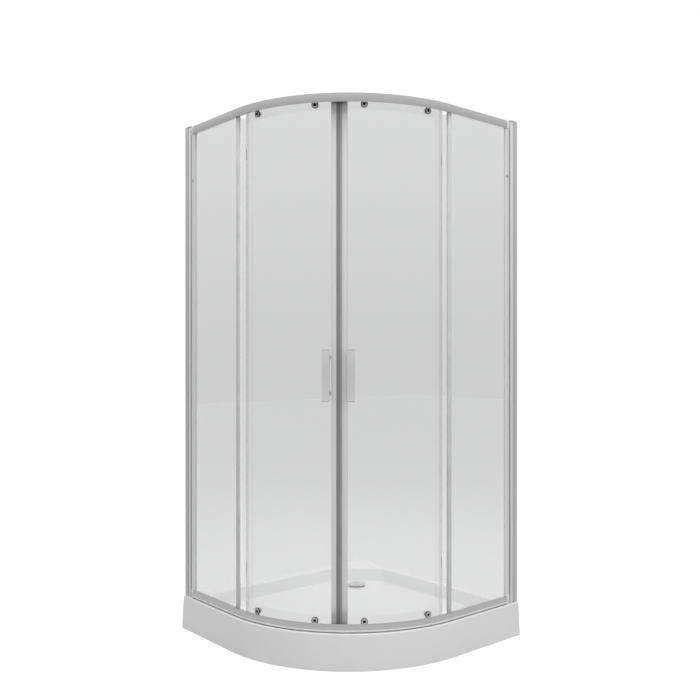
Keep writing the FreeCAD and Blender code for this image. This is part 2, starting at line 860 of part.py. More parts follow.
def fixed_edge_strip():
    """Strip on the free edge of the fixed glass, with the lip that the door's fin meets."""
    end = edge_strip_past_arc
    start = end - edge_strip_width
    offsets = (fixed_glass_offset - edge_strip_wall, fixed_glass_offset + glass_thickness + edge_strip_wall)
    body = track_box((start, end), offsets, (rim_z + rail_flange, rail_top_z - rail_flange))
    slot = track_box(
        (start - 1, start + edge_strip_grip),
        (fixed_glass_offset, fixed_glass_offset + glass_thickness),
        (rim_z, rail_top_z),
    )
    clear = rail_height + 1.0
    lip = prism([
        track(end - 5, offsets[1], rim_z + clear),
        track(end - 2.5, edge_fin_offset, rim_z + clear),
        track(end - 1, edge_fin_offset, rim_z + clear),
        track(end - 1, offsets[1], rim_z + clear),
    ], V(0, 0, frame_height - 2 * clear))
    return joined([body.cut(slot), lip])


# ---------------------------------------------------------------- door motion
def on_track(angle, radius=wheel_path_radius):
    """Point on an arc about the arc's centre, at floor level."""
    turn = math.radians(angle)
    return centre + V(radius * math.sin(turn), -radius * math.cos(turn), 0)


def door_motion():
    """Hinge that carries both rollers from the closed to the open place on the track.

    Closed, both rollers are on the arc.  Open, the rear roller is on the straight and the
    front one still on the arc.  The turn and the pole of that one rigid move are worked out
    from the two pairs of roller places.
    """
    radius = wheel_path_radius
    rear = on_track(rear_roller_angle)
    front = on_track(front_roller_angle)
    span = (front - rear).Length
    past = door_travel - radius * math.radians(rear_roller_angle)
    rear_open = V(centre.x - past, centre.y - radius, 0)
    reach = (rear_open - centre).Length
    lead = math.acos((reach ** 2 + radius ** 2 - span ** 2) / (2 * reach * radius))
    front_open_angle = math.degrees(lead - math.atan2(past, radius))
    front_open = on_track(front_open_angle)
    closed_way = front - rear
    open_way = front_open - rear_open
    turn = math.atan2(closed_way.y, closed_way.x) - math.atan2(open_way.y, open_way.x)
    step = rear_open - rear
    aside = V(-step.y, step.x, 0)
    pole = (rear + rear_open) * 0.5 - aside * (0.5 / math.tan(turn / 2))
    if (pole - rear).Length > (pole - rear_open).Length + 1e-6:
        raise ValueError("the pole is not level with both roller places")
    return pole, math.degrees(turn), past


door_pole, door_turn, rear_past_arc = door_motion()


# ---------------------------------------------------------------- door
def closing_edge_angle():
    """Angle of the closing edge of the glass, inside its stile."""
    back = magnet_width + 1.5
    return closing_angle - math.degrees(back / door_mid_radius)


def inside_seat(radius):
    """Offset at which a flat disc touches the hollow inner face of the door glass."""
    inner_radius = face_radius - door_glass_inner
    return face_radius - math.sqrt(inner_radius ** 2 - radius ** 2)


def tail_edge_angle():
    return math.degrees(door_tail_run / door_mid_radius)


def door_glass():
    offsets = (door_glass_offset, door_glass_inner)
    glass = ring_sector(offsets, (tail_edge_angle(), closing_edge_angle()), (door_bottom_z, door_top_z))
    through = (door_glass_offset - 2, door_glass_inner + 2)
    for angle in (rear_roller_angle, front_roller_angle):
        for name in RAILS:
            glass = glass.cut(swung(pin(glass_hole_radius, through, 0, rail_z(name, hub_height)), angle))
    for z in handle_post_heights():
        glass = glass.cut(swung(pin(handle_hole_radius, through, 0, z), handle_angle()))
    return glass


def closing_stile():
    middle = door_glass_offset + glass_thickness / 2
    offsets = (middle - closing_stile_depth / 2, middle + closing_stile_depth / 2)
    runs = (-magnet_width - closing_stile_width, -magnet_width)
    bar = track_box(runs, offsets, (door_bottom_z, door_top_z))
    outer_edges = [
        edge for edge in bar.Edges
        if edge.BoundBox.ZLength > 100 and edge.BoundBox.XMax < tangent_run.x - magnet_width - 1
    ]
    bar = swung(bar.makeFillet(2.0, outer_edges), closing_angle)
    gap = closing_stile_clearance
    slot = ring_sector(
        (door_glass_offset - gap, door_glass_inner + gap),
        (closing_angle - 6, closing_edge_angle() + 0.03),
        (door_bottom_z - 1, door_top_z + 1),
    )
    return bar.cut(slot)


def magnet_strip():
    middle = door_glass_offset + glass_thickness / 2
    low = middle - magnet_depth / 2
    high = middle + magnet_depth / 2
    tip = -closing_gap / 2
    strip = prism([
        track(-magnet_width, low, door_bottom_z),
        track(tip - 2.5, low, door_bottom_z),
        track(tip, low + 1.5, door_bottom_z),
        track(tip, high - 1.5, door_bottom_z),
        track(tip - 2.5, high, door_bottom_z),
        track(-magnet_width, high, door_bottom_z),
    ], V(0, 0, door_top_z - door_bottom_z))
    return swung(strip, closing_angle)


def tail_seal():
    wall = tail_seal_wall
    start = tail_edge_angle()
    tip = start - math.degrees(wall / door_mid_radius)
    end = tip + math.degrees(tail_seal_width / door_mid_radius)
    offsets = (door_glass_offset - wall, door_glass_inner + wall)
    clip = ring_sector(offsets, (tip, end), (door_bottom_z, door_top_z))
    through = (door_bottom_z - 1, door_top_z + 1)
    groove = ring_sector((door_glass_offset, door_glass_inner), (start, end + 1), through)
    clear = rail_height + 2.0
    bend = (tail_fin_offset + door_glass_offset) / 2
    thin = tail_fin_thickness
    z = rim_z + clear
    root = door_glass_offset - wall + 0.5
    bow = tail_fin_bow
    fin = prism([
        track(0, root, z),
        (track(bow, bend, z), track(0, tail_fin_offset, z)),
        track(thin, tail_fin_offset, z),
        (track(bow + thin, bend, z), track(thin + 1, root, z)),
    ], V(0, 0, frame_height - 2 * clear))
    return joined([clip.cut(groove), swung(fin, tip)])


def handle_angle():
    return closing_angle - math.degrees(handle_from_closing / (face_radius - handle_face_offset))


def handle_post_heights():
    middle = rim_z + handle_middle
    return (middle - handle_post_spacing / 2, middle + handle_post_spacing / 2)


def handle():
    """Flat pull on two posts that clamp the door glass between them and the inner caps."""
    middle = rim_z + handle_middle
    back = handle_face_offset + handle_thickness
    plate = track_box(
        (-handle_width / 2, handle_width / 2), (handle_face_offset, back),
        (middle - handle_length / 2, middle + handle_length / 2),
    )
    uprights = [edge for edge in plate.Edges if edge.BoundBox.ZLength > handle_length / 2]
    plate = plate.makeFillet(1.6, uprights)
    pieces = [plate]
    for z in handle_post_heights():
        post = pin(handle_post_radius, (back - 0.5, door_glass_offset - handle_washer), 0, z)
        reach = (door_glass_offset - handle_washer - 1, door_glass_inner + handle_washer + 2.5)
        screw = pin(handle_screw_radius, reach, 0, z)
        pieces.append(post)
        pieces.append(screw)
    return swung(joined(pieces), handle_angle())


def handle_fixings():
    """Washers on both faces of the glass and cap nuts inside, for both posts."""
    solids = []
    for z in handle_post_heights():
        outer = pin(handle_post_radius, (door_glass_offset - handle_washer, door_glass_offset), 0, z)
        seat = inside_seat(handle_cap_radius)
        inner = pin(handle_cap_radius, (seat, seat + handle_washer), 0, z)
        bore = pin(handle_screw_radius + 0.2, (door_glass_offset - 2, seat + 2), 0, z)
        outer = outer.cut(bore)
        inner = inner.cut(bore)
        cap = turned([
            (handle_screw_radius + 0.1, 0),
            (handle_cap_radius, 0),
            (handle_cap_radius, handle_cap_depth - 2),
            (handle_cap_radius - 2, handle_cap_depth),
            (0, handle_cap_depth),
            (0, 3),
            (handle_screw_radius + 0.1, 3),
        ], track(0, seat + handle_washer, z), V(0, 1, 0))
        solids += [outer, inner, cap]
    return swung(Part.makeCompound(solids), handle_angle())


# ---------------------------------------------------------------- rollers
def shield(name, offsets):
    """Plate round the hub that narrows to the wheel's axle, behind the rail's face."""
    hub_z = rail_z(name, hub_height)
    axle_z = rail_z(name, axle_height)
    way = -RAILS[name][1]
    big = hub_radius
    small = arm_end_radius
    lean = math.asin((big - small) / (hub_height - axle_height))
    side = math.cos(lean)
    rise = math.sin(lean) * way

    def at(run, z):
        return track(run, offsets[0], z)

    return prism([
        at(-big * side, hub_z + rise * big),
        (at(0, hub_z - way * big), at(big * side, hub_z + rise * big)),
        at(small * side, axle_z + rise * small),
        (at(0, axle_z + way * small), at(-small * side, axle_z + rise * small)),
    ], V(0, offsets[1] - offsets[0], 0))


def roller_plate(name):
    """Shield plate with its hub socket, and the wheel pin with its boss and head."""
    hub_z = rail_z(name, hub_height)
    axle_z = rail_z(name, axle_height)
    plate = shield(name, (plate_offset, plate_offset + plate_thickness))
    socket = pin(hub_socket_radius, (plate_offset - 1, plate_offset + hub_socket_depth), 0, hub_z)
    hole = pin(hub_bolt_radius + 0.1, (plate_offset - 1, door_glass_offset), 0, hub_z)
    wheel_inner = wheel_offset + wheel_width
    boss = pin(boss_radius, (wheel_inner + wheel_face_gap, plate_offset + 1), 0, axle_z)
    axle = pin(pin_radius, (wheel_offset - wheel_face_gap - 0.2, plate_offset + 1), 0, axle_z)
    head = pin(
        pin_head_radius,
        (wheel_offset - wheel_face_gap - pin_head_thickness, wheel_offset - wheel_face_gap), 0, axle_z,
    )
    return joined([plate.cut(socket).cut(hole), boss, axle, head])


def roller_bolt(name):
    """Countersunk bolt from the plate's socket through the glass to the inner cap."""
    hub_z = rail_z(name, hub_height)
    start = track(0, plate_offset + hub_socket_depth, hub_z)
    length = door_glass_inner + hub_washer + 5 - plate_offset - hub_socket_depth
    head = 1.5
    bolt = turned([
        (0, -head),
        (hub_socket_radius - 0.4, -head),
        (hub_socket_radius - 0.4, 0),
        (hub_bolt_radius, 0),
        (hub_bolt_radius, length),
        (0, length),
    ], start, V(0, 1, 0))
    key = Part.makeCylinder(1.6, 1.0, start - V(0, head, 0), V(0, 1, 0))
    return bolt.cut(key)


def roller_washers(name):
    hub_z = rail_z(name, hub_height)
    rings = []
    for low in (door_glass_offset - hub_washer, inside_seat(hub_washer_radius)):
        ring = pin(hub_washer_radius, (low, low + hub_washer), 0, hub_z)
        rings.append(ring.cut(pin(hub_bolt_radius + 0.1, (low - 1, low + hub_washer + 1), 0, hub_z)))
    return rings


def roller_cap(name):
    """Round cap nut on the inside of the glass, dished so that a hand can turn it."""
    hub_z = rail_z(name, hub_height)
    return turned([
        (hub_bolt_radius + 0.1, 0),
        (inner_cap_radius, 0),
        (inner_cap_radius, inner_cap_depth - 2),
        (inner_cap_radius - 2, inner_cap_depth),
        (inner_cap_radius - 4, inner_cap_depth),
        (0, inner_cap_depth - 1.5),
        (0, 5.2),
        (hub_bolt_radius + 0.1, 5.2),
    ], track(0, inside_seat(hub_washer_radius) + hub_washer, hub_z), V(0, 1, 0))


def wheel(name):
    """Nylon wheel with a crowned tread and dished faces."""
    return turned([
        (wheel_bore_radius, 0),
        (wheel_bore_radius + 1.6, 0),
        (wheel_bore_radius + 2.2, 1.0),
        (wheel_radius - 1.8, 1.0),
        (wheel_radius - 1.4, 0),
        (wheel_radius - 0.6, 0),
        (wheel_radius, 0.8),
        (wheel_radius, wheel_width - 0.8),
        (wheel_radius - 0.6, wheel_width),
        (wheel_radius - 1.4, wheel_width),
        (wheel_radius - 1.8, wheel_width - 1.0),
        (wheel_bore_radius + 2.2, wheel_width - 1.0),
        (wheel_bore_radius + 1.6, wheel_width),
        (wheel_bore_radius, wheel_width),
    ], track(0, wheel_offset, rail_z(name, axle_height)), V(0, 1, 0))


ROLLERS = {
    "rear_top": (rear_roller_angle, "top"),
    "front_top": (front_roller_angle, "top"),
    "rear_bottom": (rear_roller_angle, "bottom"),
    "front_bottom": (front_roller_angle, "bottom"),
}


def at_rollers(make):
    """Compound of one piece, or list of pieces, at each roller of a door."""
    solids = []
    for angle, name in ROLLERS.values():
        made = make(name)
        pieces = made if isinstance(made, list) else [made]
        solids += [swung(piece, angle) for piece in pieces]
    return Part.makeCompound(solids)


def door_stops():
    """Rubber buffers in both rails, where the rear wheels of the left door end."""
    stops = []
    skew = math.radians(door_turn - rear_roller_angle)
    reach = wheel_radius * math.cos(skew) + wheel_width / 2 * math.sin(skew)
    near = -rear_past_arc - reach - stop_gap
    for name in RAILS:
        heights = sorted((rail_z(name, rail_flange), rail_z(name, track_height)))
        offsets = (track_root, wheel_offset + wheel_width)
        stops.append(track_box((near - stop_length, near), offsets, heights))
    return stops


# ---------------------------------------------------------------- the nodes
def both_sides(shapes):
    return Part.makeCompound(list(shapes) + [mirrored(shape) for shape in shapes])


def build():
    board, feet, nuts = tray_support()
    nodes = {
        "tray_shell": tray_shell(),
        "tray_base_board": board,
        "tray_feet": feet,
        "tray_foot_nuts": nuts,
        "top_rail": rail("top"),
        "bottom_rail": rail("bottom"),
        "top_rail_ends": both_sides([rail_end("top")]),
        "bottom_rail_ends": both_sides([rail_end("bottom")]),
        "rail_end_screws": both_sides(rail_end_screws("top") + rail_end_screws("bottom")),
        "stile_screws": both_sides(stile_screws()),
        "glass_clamp_screws": both_sides([clamp_screw()]),
        "door_stops": both_sides(door_stops()),
    }
    nodes.update(drain_pieces())
    left = {
        "wall_profile": wall_profile(),
        "profile_cap": profile_cap(),
        "side_stile": side_stile(),
        "glass_stile": glass_stile(),
        "fixed_glass": fixed_glass(),
        "glazing_strips": Part.makeCompound([glazing_strip("top"), glazing_strip("bottom")]),
        "fixed_edge_strip": fixed_edge_strip(),
        "door_glass": door_glass(),
        "closing_stile": closing_stile(),
        "magnet_strip": magnet_strip(),
        "tail_seal": tail_seal(),
        "handle": handle(),
        "handle_fixings": handle_fixings(),
        "roller_plates": at_rollers(roller_plate),
        "roller_bolts": at_rollers(roller_bolt),
        "roller_washers": at_rollers(roller_washers),
        "roller_caps": at_rollers(roller_cap),
    }
    for place, (angle, name) in ROLLERS.items():
        left[place + "_wheel"] = swung(wheel(name), angle)
    for name, shape in left.items():
        nodes["left_" + name] = shape
        nodes["right_" + name] = mirrored(shape)
    return nodes


os.makedirs("parts", exist_ok=True)
NODES = build()
for node, shape in NODES.items():
    shape.exportStep("parts/" + node + ".step")

print("door pole", round(door_pole.x, 2), round(door_pole.y, 2), "turn", round(door_turn, 3))
print(len(NODES), "nodes")
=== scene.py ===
"""Quadrant shower enclosure: rails, curved glass, running gear, tray and waste.

Metres, origin in the middle of the footprint on the floor, +Z up.  The walls of the room stand
at -X and +Y, the round front faces +X and -Y.  Left pieces are built in the track's own frame
and their right twins are mirrored in the plane x + y = 0.
"""
import json
import math

import bmesh
import bpy
from bpy.props import FloatProperty, FloatVectorProperty, IntProperty, PointerProperty
from mathutils import Matrix, Vector

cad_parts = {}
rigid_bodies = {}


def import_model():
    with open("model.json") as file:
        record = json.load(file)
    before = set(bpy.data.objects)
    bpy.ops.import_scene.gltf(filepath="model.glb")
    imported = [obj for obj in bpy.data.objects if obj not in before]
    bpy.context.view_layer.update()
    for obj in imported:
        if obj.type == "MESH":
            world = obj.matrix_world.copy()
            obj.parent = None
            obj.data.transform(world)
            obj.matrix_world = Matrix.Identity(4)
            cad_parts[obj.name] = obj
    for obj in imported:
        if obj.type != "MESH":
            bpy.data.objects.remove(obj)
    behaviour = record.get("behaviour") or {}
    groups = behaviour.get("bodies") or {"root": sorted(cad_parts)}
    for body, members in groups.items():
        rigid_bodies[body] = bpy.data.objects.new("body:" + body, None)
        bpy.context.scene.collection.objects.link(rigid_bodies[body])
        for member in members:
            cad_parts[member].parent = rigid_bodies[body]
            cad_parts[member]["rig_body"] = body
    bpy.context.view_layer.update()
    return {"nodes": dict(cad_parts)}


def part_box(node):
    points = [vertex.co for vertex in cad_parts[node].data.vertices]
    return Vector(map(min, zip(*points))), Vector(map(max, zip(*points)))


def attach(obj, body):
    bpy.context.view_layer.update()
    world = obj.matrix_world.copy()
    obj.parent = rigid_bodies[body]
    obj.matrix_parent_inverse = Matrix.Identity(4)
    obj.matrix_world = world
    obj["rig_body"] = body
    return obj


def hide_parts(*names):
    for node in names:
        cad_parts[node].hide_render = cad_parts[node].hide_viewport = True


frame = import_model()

bl_info = {
    "name": "Quadrant shower enclosure",
    "version": (1, 0, 0),
    "blender": (4, 5, 0),
    "location": "3D Viewport > Sidebar > Enclosure",
    "description": "Builds a quadrant shower enclosure with sliding doors around its frame",
    "category": "Add Mesh",
}

MM = 0.001
LEFT_RIGHT = ("left", "right")
RAIL_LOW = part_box("bottom_rail")[0]
TOP_RAIL_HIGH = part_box("top_rail")[1]
FIXED_LOW, FIXED_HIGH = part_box("left_fixed_glass")
DOOR_LOW, DOOR_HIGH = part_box("left_door_glass")
HANDLE_LOW, HANDLE_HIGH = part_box("left_handle")
HANDLE_MIDDLE = (HANDLE_LOW.z + HANDLE_HIGH.z) / 2

ARC_CENTRE = Vector((-0.100, 0.100, 0.0))
FACE_RADIUS = 0.535                      # outer face of the rails about the arc's centre
FACE_Y = ARC_CENTRE.y - FACE_RADIUS
RAIL_STRAIGHT = ARC_CENTRE.x - RAIL_LOW.x
ROLLER_ANGLES = (8.5, 35.4)              # degrees from the arc's start, rear and front
HANDLE_ANGLE = 40.478
MEETING_ANGLE = 45.0

# In millimetres: heights are above a rail's flange, offsets inwards from its face.
RAIL_HEIGHT = 30.0
RAIL_BOW = 1.8                           # of the face and of the hollow behind it
HUB_HEIGHT = 26.0
AXLE_HEIGHT = 10.6
GLASS_THICKNESS = 5.0
DOOR_OFFSET = 41.0                       # outer side of the door glass
DOOR_TAIL_GAP = 9.0                      # arc's start to the door glass
DOOR_MEETING_GAP = 11.5                  # door glass to the meeting line
HANDLE_WIDTH = 25.0
HANDLE_LENGTH = 172.0
HANDLE_POST_RISE = 60.0                  # posts above and below the handle's middle

MERGE_DISTANCE = 1e-6                    # metres, for doubled points

# Light and camera.
FLOOR_SHINE = 0.75                       # makes the floor white where the camera sees it
FLOOR_SHINE_BEYOND = 0.42                # and pale where glass and metal show it
ROOM_LIGHT = 0.66                        # strength of the room on the object
PICTURE_SIZE = 700.0                     # pixels, as the next two
FOCAL_LENGTH = 839.2
VIEW_CENTRE = (367.7, 356.9)
SENSOR_WIDTH = 36.0                      # millimetres


# ------------------------------------------------------------------ settings
class EnclosureSizes(bpy.types.PropertyGroup):
    """Sizes of the finish that the frame leaves open"""

    path_segments: IntProperty(
        name="Arc segments", description="Steps along the bent rails", default=120, min=24)
    glass_arris: FloatProperty(
        name="Glass arris", description="Ground edge of the panes", default=0.7 * MM,
        unit="LENGTH")
    edge_round: FloatProperty(
        name="Edge round", description="Round on the edges of the profiles", default=0.5 * MM,
        unit="LENGTH")
    plate_round: FloatProperty(
        name="Handle round", description="Round on the edges of the handle plates",
        default=1.3 * MM, unit="LENGTH")
    stile_round: FloatProperty(
        name="Stile round", description="Wide round of the glass stiles beside the glass",
        default=4.6 * MM, unit="LENGTH")


class EnclosureColours(bpy.types.PropertyGroup):
    """Colours of the finishes"""

    acrylic: FloatVectorProperty(
        name="Acrylic", description="Tray", subtype="COLOR", size=3, default=(0.86, 0.86, 0.86))
    rail: FloatVectorProperty(
        name="Bright aluminium", description="Rails", subtype="COLOR", size=3,
        default=(0.53, 0.53, 0.53))
    stile: FloatVectorProperty(
        name="Satin aluminium", description="Stiles", subtype="COLOR", size=3,
        default=(0.77, 0.77, 0.775))
    profile: FloatVectorProperty(
        name="Grey aluminium", description="Wall profiles", subtype="COLOR", size=3,
        default=(0.54, 0.54, 0.54))
    chrome: FloatVectorProperty(
        name="Chrome", description="Handles and rollers", subtype="COLOR", size=3,
        default=(0.70, 0.70, 0.705))
    steel: FloatVectorProperty(
        name="Zinc", description="Screws and feet", subtype="COLOR", size=3,
        default=(0.56, 0.565, 0.57))
    # The tint of the panes is partly the glass's own and partly painted shade, standing for the
    # shaded wall seen through them.
    glass: FloatVectorProperty(
        name="Glass", description="Tint of the panes", subtype="COLOR", size=3,
        default=(0.875, 0.880, 0.880))
    seal: FloatVectorProperty(
        name="Seal", description="Smoky magnetic strips", subtype="COLOR", size=3,
        default=(0.39, 0.39, 0.39))
    strip: FloatVectorProperty(
        name="Edge strip", description="Strips on the fixed panes", subtype="COLOR", size=3,
        default=(0.70, 0.705, 0.705))


def sizes():
    return bpy.context.scene.enclosure_sizes


def colours():
    return bpy.context.scene.enclosure_colours


# ------------------------------------------------------------------ nodes
def add_node(tree, kind, inputs=None, **settings):
    """Node in a tree; each input is another node's socket to link or a plain value."""
    made = tree.nodes.new(kind)
    for key, value in settings.items():
        setattr(made, key, value)
    for key, value in (inputs or {}).items():
        if isinstance(value, bpy.types.NodeSocket):
            tree.links.new(value, made.inputs[key])
        else:
            made.inputs[key].default_value = value
    return made


# ------------------------------------------------------------------ materials
class Finish:
    """A material with a Principled shader and Object coordinates to hang patterns on."""

    def __init__(self, name, colour, roughness, metallic=0.0):
        self.material = bpy.data.materials.new(name)
        self.material.use_nodes = True
        self.tree = self.material.node_tree
        self.nodes = self.tree.nodes
        self.links = self.tree.links
        self.shader = self.nodes["Principled BSDF"]
        self.set("Base Color", (*colour, 1.0))
        self.set("Roughness", roughness)
        self.set("Metallic", metallic)
        self.place = self.nodes.new("ShaderNodeTexCoord").outputs["Object"]

    def set(self, socket, value):
        self.shader.inputs[socket].default_value = value

    def node(self, kind, inputs=None, **settings):
        return add_node(self.tree, kind, inputs, **settings)

    def surface(self, socket):
        """Make a shader socket the material's surface."""
        self.links.new(socket, self.nodes["Material Output"].inputs["Surface"])

    def noise(self, scale, stretch=(1, 1, 1), detail=3.0):
        """Noise on Object coordinates; stretch is how much finer it is along each axis."""
        mapping = self.node("ShaderNodeMapping", {"Vector": self.place, "Scale": stretch})
        noise = self.node("ShaderNodeTexNoise", {
            "Vector": mapping.outputs["Vector"], "Scale": scale, "Detail": detail})
        return noise.outputs["Fac"]

    def spread(self, value, low, high, start=0.3, end=0.7):
        made = self.node("ShaderNodeMapRange", {
            "Value": value, "From Min": start, "From Max": end, "To Min": low, "To Max": high})
        return made.outputs["Result"]

    def vary_roughness(self, value, low, high):
        self.links.new(self.spread(value, low, high), self.shader.inputs["Roughness"])

    def vary_colour(self, value, low, high, start=0.3, end=0.7):
        ramp = self.node("ShaderNodeValToRGB", {"Fac": value})
        ramp.color_ramp.elements[0].position = start
        ramp.color_ramp.elements[0].color = (*low, 1.0)
        ramp.color_ramp.elements[1].position = end
        ramp.color_ramp.elements[1].color = (*high, 1.0)
        self.links.new(ramp.outputs["Color"], self.shader.inputs["Base Color"])

    def bump(self, value, depth, strength=1.0):
        made = self.node("ShaderNodeBump", {
            "Height": value, "Distance": depth, "Strength": strength})
        self.links.new(made.outputs["Normal"], self.shader.inputs["Normal"])


def shade(colour, factor):
    return tuple(min(1.0, part * factor) for part in colour)


def white_acrylic():
    finish = Finish("white acrylic", colours().acrylic, 0.18)
    finish.set("Coat Weight", 0.35)
    finish.set("Coat Roughness", 0.06)
    cloud = finish.noise(7.0)
    finish.vary_roughness(cloud, 0.14, 0.24)
    base = colours().acrylic
    finish.vary_colour(finish.noise(2.2), shade(base, 0.985), shade(base, 1.01))
    finish.bump(finish.noise(160.0, detail=1.0), 0.00005, 0.35)
    return finish.material


def drawn_metal(name, colour, roughness, metallic, stretch, scale):
    """Anodised metal with faint draw lines along the profile."""
    finish = Finish(name, colour, roughness, metallic)
    lines = finish.noise(scale, stretch, 4.0)
    finish.vary_roughness(lines, roughness * 0.85, roughness * 1.2)
    finish.vary_colour(lines, shade(colour, 0.965), shade(colour, 1.025))
    finish.bump(lines, 0.000004, 0.2)
    return finish.material


def bright_metal(name, colour, roughness):
    finish = Finish(name, colour, roughness, 1.0)
    smear = finish.noise(30.0)
    finish.vary_roughness(smear, roughness * 0.8, roughness * 1.5)
    finish.vary_colour(finish.noise(12.0), shade(colour, 0.97), shade(colour, 1.03))
    finish.bump(finish.noise(220.0, detail=1.0), 0.00001, 0.2)
    return finish.material


def zinc_steel():
    colour = colours().steel
    finish = Finish("zinc-plated steel", colour, 0.35, 1.0)
    cells = finish.node("ShaderNodeTexVoronoi", {"Vector": finish.place, "Scale": 300.0})
    finish.vary_colour(cells.outputs["Distance"], shade(colour, 0.9), shade(colour, 1.05), 0.1, 0.8)
    finish.vary_roughness(finish.noise(90.0), 0.28, 0.45)
    finish.bump(finish.noise(400.0), 0.00002, 0.4)
    return finish.material


def clear_glass(name, colour, index, roughness):
    """Clear pane or strip that lets shadow and bounce light through."""
    finish = Finish(name, colour, roughness)
    finish.set("Transmission Weight", 1.0)
    finish.set("IOR", index)
    through = finish.node("ShaderNodeBsdfTransparent", {"Color": (0.95, 0.95, 0.95, 1.0)})
    path = finish.node("ShaderNodeLightPath")
    unseen = finish.node("ShaderNodeMath", {
        0: path.outputs["Is Shadow Ray"], 1: path.outputs["Is Diffuse Ray"]},
        operation="MAXIMUM")
    mix = finish.node("ShaderNodeMixShader", {
        0: unseen.outputs[0], 1: finish.shader.outputs[0], 2: through.outputs[0]})
    finish.surface(mix.outputs[0])
    return finish.material


def soft_plastic(name, colour, roughness, grain, transmission=0.0):
    finish = Finish(name, colour, roughness)
    finish.set("Transmission Weight", transmission)
    finish.vary_colour(finish.noise(18.0), shade(colour, 0.94), shade(colour, 1.05))
    finish.vary_roughness(finish.noise(60.0), roughness * 0.85, min(1.0, roughness * 1.2))
    finish.bump(finish.noise(grain, detail=2.0), 0.00004, 0.4)
    return finish.material


def rubber():
    finish = Finish("black rubber", (0.035, 0.035, 0.036), 0.7)
    finish.vary_colour(finish.noise(25.0), (0.028, 0.028, 0.029), (0.05, 0.05, 0.05))
    finish.bump(finish.noise(700.0), 0.00006, 0.5)
    return finish.material


def chipboard():
    finish = Finish("sealed chipboard", (0.5, 0.36, 0.22), 0.75)
    chips = finish.node("ShaderNodeTexVoronoi", {
        "Vector": finish.place, "Scale": 180.0, "Randomness": 1.0})
    finish.vary_colour(chips.outputs["Distance"], (0.34, 0.23, 0.13), (0.62, 0.47, 0.30), 0.05, 0.7)
    finish.bump(chips.outputs["Distance"], 0.0004, 0.4)
    return finish.material


def make_materials():
    """Finishes by name; along_rail and upright stretch the draw lines along the profile."""
    shades = colours()
    along_rail, upright = (1, 1, 60), (60, 60, 1)
    return {
        "tray_acrylic": white_acrylic(),
        "rail_aluminium": drawn_metal(
            "bright anodised rail", shades.rail, 0.20, 0.65, along_rail, 22.0),
        "stile_aluminium": drawn_metal(
            "satin anodised stile", shades.stile, 0.34, 0.30, upright, 16.0),
        "profile_aluminium": drawn_metal(
            "grey anodised profile", shades.profile, 0.34, 0.5, upright, 16.0),
        "handle_chrome": bright_metal("polished handle chrome", shades.chrome, 0.12),
        "drain_chrome": bright_metal("polished drain chrome", (0.78, 0.78, 0.785), 0.16),
        "zinc_steel": zinc_steel(),
        # Tinted glass: part of its grey is painted shade of the wall seen through it.
        "clear_glass": clear_glass("clear toughened glass", shades.glass, 1.45, 0.0),
        "clear_seal": clear_glass("clear soft seal", (0.93, 0.93, 0.93), 1.12, 0.04),
        "seal_plastic": soft_plastic("smoky seal", shades.seal, 0.38, 300.0),
        # Darker copy of the smoky seal: painted shade on the left magnet strip and on the strip
        # under the lower rail; also the roller washers.
        "dark_seal_and_painted_shade": soft_plastic("dark seal and painted shade", shade(shades.seal, 0.72), 0.42, 300.0),
        # Near-black copy of the seal: painted shade in the grooves beside the glass stiles.
        "painted_groove_shade": soft_plastic("painted groove shade", shade(shades.seal, 0.33), 0.5, 300.0),
        # Dark chrome of the roller plates; the dark ring it leaves round the pale disc is partly
        # painted shade of the hub's groove.
        "smoked_chrome_and_shade": bright_metal("smoked chrome and painted shade", (0.17, 0.17, 0.175), 0.22),
        "black_steel": bright_metal("black steel", (0.035, 0.035, 0.035), 0.3),
        "glazing_rubber": soft_plastic("clear grey strip", shades.strip, 0.32, 240.0),
        "grey_moulding": soft_plastic("grey moulding", (0.55, 0.55, 0.555), 0.35, 260.0),
        # Pale copy of the moulding: on the rail ends partly painted light lifting their shade, on
        # the rail's bead partly a painted highlight; also the roller discs.
        "pale_moulding_and_painted_light": soft_plastic("pale moulding and painted light", (0.85, 0.85, 0.85), 0.35, 260.0),
        "wheel_nylon": soft_plastic("white nylon", (0.78, 0.78, 0.76), 0.4, 500.0),
        "trap_plastic": soft_plastic("white polypropylene", (0.74, 0.74, 0.73), 0.5, 350.0),
        "black_rubber": rubber(),
        "board": chipboard(),
    }


MATERIALS = {}


# ------------------------------------------------------------------ meshes
def new_object(name, mesh):
    made = bpy.data.objects.new(name, mesh)
    bpy.context.scene.collection.objects.link(made)
    return made


def close_up(work):
    """Merge doubled points and turn the faces outwards."""
    bmesh.ops.remove_doubles(work, verts=work.verts, dist=MERGE_DISTANCE)
    bmesh.ops.recalc_face_normals(work, faces=work.faces)


def mesh_from(name, build):
    """Mesh made by a function that fills a bmesh; its faces are turned outwards."""
    work = bmesh.new()
    build(work)
    close_up(work)
    mesh = bpy.data.meshes.new(name)
    work.to_mesh(mesh)
    work.free()
    return mesh


def shade_mesh(mesh, angle=32.0):
    mesh.shade_smooth()
    mesh.set_sharp_from_angle(angle=math.radians(angle))


def bevelled(mesh, width, segments=2, angle=30.0):
    """Mesh with its sharp edges rounded."""
    helper = new_object(mesh.name + " work", mesh)
    modifier = helper.modifiers.new("Round", "BEVEL")
    modifier.width = width
    modifier.segments = segments
    modifier.limit_method = "ANGLE"
    modifier.angle_limit = math.radians(angle)
    graph = bpy.context.evaluated_depsgraph_get()
    made = bpy.data.meshes.new_from_object(helper.evaluated_get(graph))
    bpy.data.objects.remove(helper)
    return made


def mirrored_mesh(mesh, name):
    """Copy mirrored in the plane x + y = 0, with its faces turned back outwards."""
    made = mesh.copy()
    made.name = name
    made.transform(Matrix(((0, -1, 0, 0), (-1, 0, 0, 0), (0, 0, 1, 0), (0, 0, 0, 1))))
    made.flip_normals()
    return made


